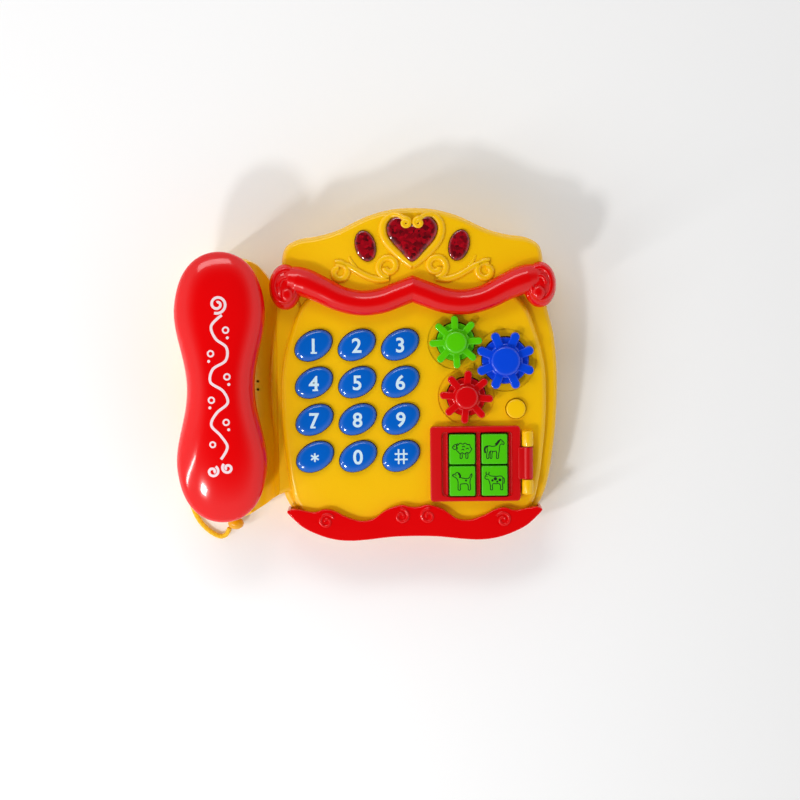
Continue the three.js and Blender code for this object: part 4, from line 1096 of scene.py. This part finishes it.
# Simple farm animals in plain lines, about 12 mm wide, drawn about the key's middle; y is upwards.
iconSet = {
    "low": 6.1,
    "high": 6.24,
    "thin": 0.5,
    "thick": 1.1,
    "sheep": {
        "closed": [
            [(-2.6, 2.8), (-1.2, 3.9), (0.4, 3.3), (1.9, 4), (3.1, 3), (4.6, 2.9), (5, 1.4), (5.9, 0.2),
             (5, -1),
             (4.3, -2.2), (2.7, -1.9), (1.3, -2.8), (0, -2), (-1.5, -2.6), (-2.4, -1.5), (-3.4, -0.5),
             (-2.9, 1),
             (-3.6, 2)],
            [(-5.9, 1.2), (-5.1, 2.6), (-3.9, 3.2), (-3.4, 2), (-3.7, 0.6), (-4.7, 0.1)],
        ],
        "open": [
            [(-1.2, -2.6), (-1.2, -5.4), (-0.2, -5.4), (-0.1, -2.6)],
            [(2.3, -2.4), (2.3, -5.4), (3.3, -5.4), (3.4, -2.4)],
            [(-3.7, 3), (-2.8, 3.6), (-2.4, 2.6)], [(0, 1.5), (0.9, 2.1), (1.7, 1.4)],
            [(2.4, 0.2), (3.2, 0.8), (4, 0.1)],
            [(-0.4, -0.4), (0.4, 0.2), (1.3, -0.5)],
        ],
        "dots": [(-4.8, 1.9, 0.32)],
    },
    "horse": {
        "closed": [],
        "open": [
            [(5.6, 2.8), (5.9, 3.8), (4.6, 5.3), (3.6, 6), (3.2, 5.1), (2.2, 3.6), (0.9, 2.2), (-1.4, 1.8),
             (-3.5, 2.1),
             (-4.5, 1.2), (-4.4, -1), (-4.8, -3), (-4.7, -5.6), (-3.7, -5.6), (-3.5, -3.2), (-2.6, -1.2),
             (-0.4, -1.4),
             (0.9, -1.2), (1.3, -3), (1.2, -5.6), (2.2, -5.6), (2.5, -3), (2.9, -0.8), (3, 1.1), (3.5, 2.6),
             (4.4, 3.2),
             (5.6, 2.8)],
            [(-2.4, -1.3), (-2.7, -3.4), (-2.6, -5.6), (-1.8, -5.6), (-1.6, -3.2), (-1.2, -1.5)],
        ],
        "thick": [
            [(3.4, 5.5), (2.4, 4.9), (1.5, 3.7), (0.4, 2.9)],
            [(-4, 1.9), (-5.6, 1.2), (-6, -0.6), (-5.5, -2.3)],
        ],
        "dots": [(4.5, 4.4, 0.3)],
    },
    "dog": {
        "closed": [],
        "open": [
            [(-5.9, 3.2), (-5.8, 4.2), (-4.4, 4.5), (-3.6, 5.4), (-2.2, 5.2), (-1.3, 3.9), (-0.9, 2.3),
             (0.8, 1.8),
             (3, 1.6), (4.2, 2.1), (5, 3.8), (5.7, 4.6), (5.8, 3.2), (4.9, 1.2), (4.6, -0.8), (4.9, -3),
             (4.7, -5.4),
             (3.7, -5.4), (3.5, -3), (2.7, -1.7), (0.6, -1.6), (-1.1, -1.9), (-1.4, -3.4), (-1.3, -5.4),
             (-2.5, -5.4),
             (-2.7, -3), (-2.7, -0.6), (-3.2, 1.2), (-4.1, 2.2), (-5.9, 3.2)],
        ],
        "thick": [[(-2.6, 4.8), (-1.6, 4), (-1.4, 2.8), (-1.9, 2.2)]],
        "dots": [(-4, 3.8, 0.3), (-5.9, 3.7, 0.45), (2.2, 0.4, 0.6)],
    },
    "cow": {
        "closed": [],
        "open": [
            [(-6, 1.6), (-5.8, 2.9), (-4.9, 4), (-3.9, 4.2), (-3.1, 3.4), (-1.6, 3), (1.4, 2.8), (3.9, 3),
             (4.9, 2.2),
             (5, -0.2), (4.8, -2.6), (4.8, -5.4), (3.7, -5.4), (3.5, -2.8), (2.6, -1.7), (0.4, -1.8),
             (-1, -1.8),
             (-1.5, -3), (-1.4, -5.4), (-2.5, -5.4), (-2.7, -2.8), (-3.2, -0.8), (-4, 1), (-5, 1.1),
             (-6, 1.6)],
            [(-4.9, 4.1), (-5.4, 5), (-5, 5.6)], [(-3.9, 4.2), (-3.3, 5), (-3.6, 5.6)],
            [(4.9, 2.2), (5.9, 1.2), (5.8, -0.8), (5.6, -1.9)],
        ],
        "dots": [(-4.7, 2.8, 0.3), (0.4, 1.3, 1.05), (3.2, 0.6, 0.9), (-1.4, 0.3, 0.7), (1.6, -0.5, 0.6)],
    },
}


def makeAnimalKeys():
    for name, (x, y) in animalSpots.items():
        w, d = animalSet["width"] / 2, animalSet["depth"] / 2
        cap = plate(boxLine(x - w, x + w, y - d, y + d, 1.0), -2.4, animalSet["top"], 0.7, 5)
        flange = plate(boxLine(x - w, x + w, y - d, y + d, 1.0), -4.1, -2.3)
        cap = carve(cap, [("+", flange)])
        node = f"key_{name}"
        addPiece(f"key{name.title()}", cap, finish["green_key"], node, [node], 40)
        strokes, low, high = [], iconSet["low"], iconSet["high"]
        drawing = iconSet[name]
        for kind, width, closed in (("closed", iconSet["thin"], True), ("open", iconSet["thin"], False),
                                    ("thick", iconSet["thick"], False)):
            for points in drawing.get(kind, []):
                line = smoothOutline(points, 6, closed)
                if closed:
                    line = line + line[:2]
                strokes.append(ribbon([(x + p.x, y + p.y) for p in line], width, low, high))
        strokes += [upright(r, low, high + 0.01, x + dx, y + dy, 20) for dx, dy, r in drawing["dots"]]
        addPiece(f"print{name.title()}", joined(strokes), inkAndShade["lines"], node, (), 30)
    x, y = buttonSet["spot"]
    r, top, f = buttonSet["radius"], buttonSet["top"], keySet["flange"]
    button = turned([(0, f["low"]), (r + f["out"], f["low"]), (r + f["out"], f["high"]), (r, f["high"]),
                     (r, top - 0.9), (r - 0.12, top - 0.45),
                     (r - 0.4, top - 0.14), (r - 0.9, top), (r * 0.5, top), (0, top)], x, y, 56)
    addPiece("roundButton", button, finish["yellow_button"], "round_button",
             ["round_button"], 45)
    print("animal keys")


surroundSet = {
    "left": 9.8, "right": 65.2, "front": -77.7, "back": -31.3, "low": 0.9, "top": 5.0,
    "tray": {"left": 16.6, "right": 60.6, "front": -74.6, "back": -34.4, "floor": 3.3},
    "tabLeft": 63.8, "tabTop": 6.5,
}


def makeSurround():
    s, tray = surroundSet, surroundSet["tray"]
    base = plate(boxLine(s["left"], s["right"], s["front"], s["back"], 2.2), s["low"], s["top"], 0.8, 5)
    sunk = plate(boxLine(tray["left"], tray["right"], tray["front"], tray["back"], 2.6), tray["floor"], 9,
                 0, 6, 1.2)
    windows = [plate(columnLine(x, 0.9), -3, 9) for x in animalSet["columns"]]
    lips = [plate(columnLine(x, 1.9), s["low"] + 0.2, tray["floor"] + 0.5, 0.4, 3)
            for x in animalSet["columns"]]
    tab = plate(boxLine(s["tabLeft"], hingeSet["x"], hingeSet["tabFront"], hingeSet["tabBack"], 0.5),
                s["low"],
                s["tabTop"], 0.5, 4)
    barrel = barAlong(hingeSet["radius"], hingeSet["x"], hingeSet["z"], hingeSet["tabFront"],
                      hingeSet["tabBack"], 48)
    pinHole = barAlong(hingeSet["pin"] + 0.3, hingeSet["x"], hingeSet["z"], -90, -20, 24)
    piece = carve(base, [("-", sunk), ("+", joined(lips)), ("-", joined(windows)), ("+", tab), ("+", barrel),
                         ("-", pinHole)])
    addPiece("keySurround", piece, finish["red_surround"], "key_surround", ["key_surround"],
             38)
    print("key surround")


def gearPhase(name):
    if name == "blue":
        return 22.5
    (bx, by), (x, y) = gearSet["blue"]["spot"], gearSet[name]["spot"]
    return 2 * math.degrees(math.atan2(y - by, x - bx)) + 180


def makeGears():
    h = gearHeights
    for name, gear in gearSet.items():
        x, y = gear["spot"]
        root, hub, tip, tooth = gear["root"], gear["hub"], gear["tip"], gear["tooth"]
        disc = turned([(0, h["bottom"]), (root, h["bottom"]), (root, h["disc"] - 0.5),
                       (root - 0.5, h["disc"]),
                       (0, h["disc"])], x, y, 72)
        spokes = []
        for i in range(8):
            angle = math.radians(gearPhase(name) + i * 45)
            inner, outer = hub - 1, tip - tooth
            line = []
            for k in range(13):  # a straight bar with a round tip
                a = -math.pi / 2 + math.pi * k / 12
                line.append((outer + tooth * math.cos(a), tooth * math.sin(a)))
            line += [(inner, tooth), (inner, -tooth)]
            c, s = math.cos(angle), math.sin(angle)
            bar = plate([(x + px * c - py * s, y + px * s + py * c) for px, py in line], h["bottom"],
                        h["spokes"], 0.8, 5)
            spokes.append(bar)
        collar = turned([(0, h["bottom"]), (hub + 1.6, h["bottom"]), (hub + 1.6, h["spokes"] - 0.8),
                         (hub + 1.2, h["spokes"] - 0.2), (hub + 0.6, h["spokes"]), (0, h["spokes"])], x, y,
                         64)
        top = turned([(0, h["bottom"]), (hub, h["bottom"]), (hub, h["hub"] - 1.3),
                      (hub - 0.25, h["hub"] - 0.7),
                      (hub - 0.8, h["hub"] - 0.3), (hub - 1.6, h["hub"] - 0.1), (hub * 0.5, h["hub"]),
                      (0, h["hub"])], x, y, 64)
        raised = [("+", joined(spokes[0::2])), ("+", joined(spokes[1::2])), ("+", collar), ("+", top)]
        bore = upright(2.5, -2, 6.4, x, y, 32)
        piece = carve(disc, [*raised, ("-", bore)])
        addPiece(f"{name}Gear", piece, finish[f"{name}_gear"], f"gear_{name}",
                 [f"gear_{name}"], 40)
    print("gears")


makeKeys()
makeAnimalKeys()
makeSurround()
makeGears()


handsetSet = {
    "waist": 20.6, "halfWidth": 28.6, "length": 165.0, "parting": 14.5, "crest": 28.9, "belly": 2.8,
    "wall": 2.4,
    "rings": 96, "sides": 88,
    "arch": {"reach": 27.0, "top": 10.2},
    "capRadius": 13.4, "capLow": -6.7, "capTop": -1.0, "caps": (41, -55),
}


def signedPower(value, power):
    return math.copysign(abs(value) ** power, value)


# The handset's full body, inset by a little: a waisted bar with an upper and a lower side.
def handsetBody(inset):
    h = handsetSet
    x0, y0 = shellSet["handsetAt"]
    bm = bmesh.new()
    rings = []
    count, sides = h["rings"], h["sides"]
    for i in range(1, count):
        t = -math.cos(math.pi * i / count)
        far = abs(t)
        waist = h["waist"] + (h["halfWidth"] - h["waist"]) * (0.5 - 0.5 * math.cos(math.pi * min(1,
                                                                                                 far / 0.62)))
        half = waist * (1 - far ** 5) ** 0.5 - inset
        roof = (h["crest"] - 6 * t * t - h["parting"]) * (1 - far ** 6) ** 0.5 - inset
        floor = (h["parting"] + h["belly"]) * (1 - far ** 8) ** 0.5 - inset
        half, roof, floor = max(half, 0.02), max(roof, 0.02), max(floor, 0.02)
        y = t * (h["length"] / 2 - inset)
        ring = []
        for k in range(sides):
            angle = math.tau * k / sides
            across, rise = signedPower(math.cos(angle), 0.85), signedPower(math.sin(angle), 0.85)
            height = rise * (roof if rise > 0 else floor)
            ring.append(bm.verts.new((x0 + across * half, y0 + y, h["parting"] + height)))
        rings.append(ring)
        if i > 1:
            for k in range(sides):
                n = (k + 1) % sides
                bm.faces.new((rings[-2][k], rings[-2][n], ring[n], ring[k]))
    for ring, end in ((rings[0], -1), (rings[-1], 1)):
        pole = bm.verts.new((x0, y0 + end * (h["length"] / 2 - inset), h["parting"]))
        for k in range(sides):
            bm.faces.new((ring[k], ring[(k + 1) % sides], pole))
    bmesh.ops.recalc_face_normals(bm, faces=bm.faces)
    return bm


def curveThrough(a, b, c, count=12):
    return [((1 - u) ** 2 * a[0] + 2 * u * (1 - u) * b[0] + u * u * c[0],
             (1 - u) ** 2 * a[1] + 2 * u * (1 - u) * b[1] + u * u * c[1]) for u in
            (k / count for k in range(count + 1))]


# The arch between the ear and mouth ends, cut right across.
def archCut(grow):
    x0, y0 = shellSet["handsetAt"]
    reach, top = handsetSet["arch"]["reach"] + grow, handsetSet["arch"]["top"] + grow
    side = [(-reach - 6, -22.8), (reach + 6, -22.8)]
    side += curveThrough((reach + 4, -0.8), (reach, top), (reach - 14, top))
    side += curveThrough((-reach + 14, top), (-reach, top), (-reach - 4, -0.8))
    cut = plate([(-z, y) for y, z in side][::-1], -40, 40)
    # lays the outline over so that it runs across
    turn = Matrix(((0, 0, 1, x0), (0, 1, 0, y0), (-1, 0, 0, 0), (0, 0, 0, 1)))
    bmesh.ops.transform(cut, matrix=turn, verts=cut.verts)
    bmesh.ops.recalc_face_normals(cut, faces=cut.faces)
    return cut


def slab(low, high):
    x0, y0 = shellSet["handsetAt"]
    return plate([(x0 - 60, y0 - 120), (x0 + 60, y0 - 120), (x0 + 60, y0 + 120), (x0 - 60, y0 + 120)], low,
                 high)


def makeHandset():
    h = handsetSet
    x0 = shellSet["handsetAt"][0]
    parting = h["parting"]
    upper = carve(handsetBody(0), [("&", slab(parting + 0.15, 60)), ("-", handsetBody(h["wall"]))])
    addPiece("handsetUpperShell", upper, finish["red_handset"], "handset",
             ["handset_upper_shell"], 40)
    inner = carve(handsetBody(h["wall"]), [("-", archCut(h["wall"]))])
    caps, holes = [], []
    for y in h["caps"]:
        r, low = h["capRadius"], h["capLow"]
        caps.append(turned([(0, low), (r - 1.2, low), (r - 0.35, low + 0.35), (r, low + 1.2),
                            (r, h["capTop"]),
                            (0, h["capTop"])], x0, y, 64))
        holes.append(upright(11, -3.4, 6, x0, y, 48))
        for ring, number in ((0, 1), (3.4, 6), (6.8, 12)):
            for k in range(number):
                a = math.tau * k / number
                holes.append(upright(0.8, low - 1, 0, x0 + ring * math.cos(a), y + ring * math.sin(a), 12))
    tip = deckPoint(*cordSet["route"][-1])
    gland = upright(3.4, tip.z + 0.3, 8.5, tip.x, tip.y, 32)
    lower = carve(handsetBody(0), [("-", archCut(0)), ("-", inner), ("+", joined(caps)), ("-", joined(holes)),
                                   ("+", gland), ("&", slab(-40, parting - 0.15))])
    addPiece("handsetLowerShell", lower, finish["red_handset"], "handset",
             ["handset_lower_shell"], 40)
    print("handset")


# A painted vine down the handset's middle, in generic curls, rings and dots.
vineSet = {
    "width": 1.6,
    "lift": 0.06,
    "curl": ((-0.2, 51.5), 5.6, 1.0, 1.6, 250),
    "wave": [(2.5, 45), (-4, 38.5), (-1.5, 31), (5, 25.5), (4.5, 18), (-3.5, 12.5), (-5, 5), (2.5, -0.5),
             (5.2, -7.5),
             (-1.8, -14), (-5, -21), (0.5, -27.5), (4.4, -34.5), (0.4, -42)],
    "ends": [((-4.8, -49.5), 3.6, 0.9, -1.3, 60), ((4.2, -47.5), 3.4, 0.9, 1.3, 130)],
    "rings": [(4.6, 36, 1.7), (-4.6, 22, 1.7), (5, 8, 1.7), (-4.6, -6, 1.7), (4, -19.5, 1.7),
              (-4.4, -33, 1.6)],
    "dots": [(5.6, 31.4, 0.9), (-5.8, 17.4, 0.9), (6, 3.4, 0.9), (-5.6, -10.6, 0.9), (5.4, -24, 0.9)],
}


def makeVine():
    v = vineSet
    x0, y0 = shellSet["handsetAt"]
    (cx, cy), r, inner, turns, start = v["curl"]
    lines = [spiral(cx, cy, r, inner, turns, start, 44),
             [(p.x, p.y) for p in smoothOutline(v["wave"], 8, False)]]
    for (cx, cy), r, inner, turns, start in v["ends"]:
        lines.append(spiral(cx, cy, r, inner, turns, start, 30))
    for rx, ry, r in v["rings"]:
        lines.append([(rx + r * math.cos(math.tau * k / 20), ry + r * math.sin(math.tau * k / 20))
                      for k in range(21)])
    strokes = [ribbon([(x0 + px, y0 + py) for px, py in line],
                      v["width"] * (0.65 if len(line) == 21 else 1), 10, 40)
               for line in lines]
    strokes += [upright(r, 10, 40, x0 + dx, y0 + dy, 20) for dx, dy, r in v["dots"]]
    whole = strokes[0]
    vine = carve(whole, [("+", s) for s in strokes[1:]] + [("&", handsetBody(-v["lift"])),
                                                           ("-", handsetBody(0.25))])
    addPiece("handsetVine", vine, inkAndShade["ornament"], "handset", (), 40)
    print("vine")


def makeHook():
    x, y = shellSet["handsetAt"][0], shellSet["handsetAt"][1] + shellSet["cups"][0]
    plunger = turned([(0, -15.5), (5.1, -15.5), (5.1, -14), (3.5, -14), (3.5, -8.4), (3.2, -7.6),
                      (2.4, -7.1), (0, -7)],
                     x, y, 40)
    addPiece("hookPlunger", plunger, finish["red_plunger"], "hook_plunger", ["hook_plunger"],
             40)
    turns, steps = 4.5, 150
    coil = []
    for i in range(steps + 1):
        a = math.tau * turns * i / steps
        coil.append(Vector((x + 2.5 * math.cos(a), y + 2.5 * math.sin(a), -16.2 - 4.2 * i / steps)))
    spring = tubeAlong(coil, [0.38] * len(coil), 12)
    addPiece("hookSpring", spring, finish["steel"], "housing", ["hook_spring"], 60)
    print("hook")


makeHandset()
makeVine()
makeHook()
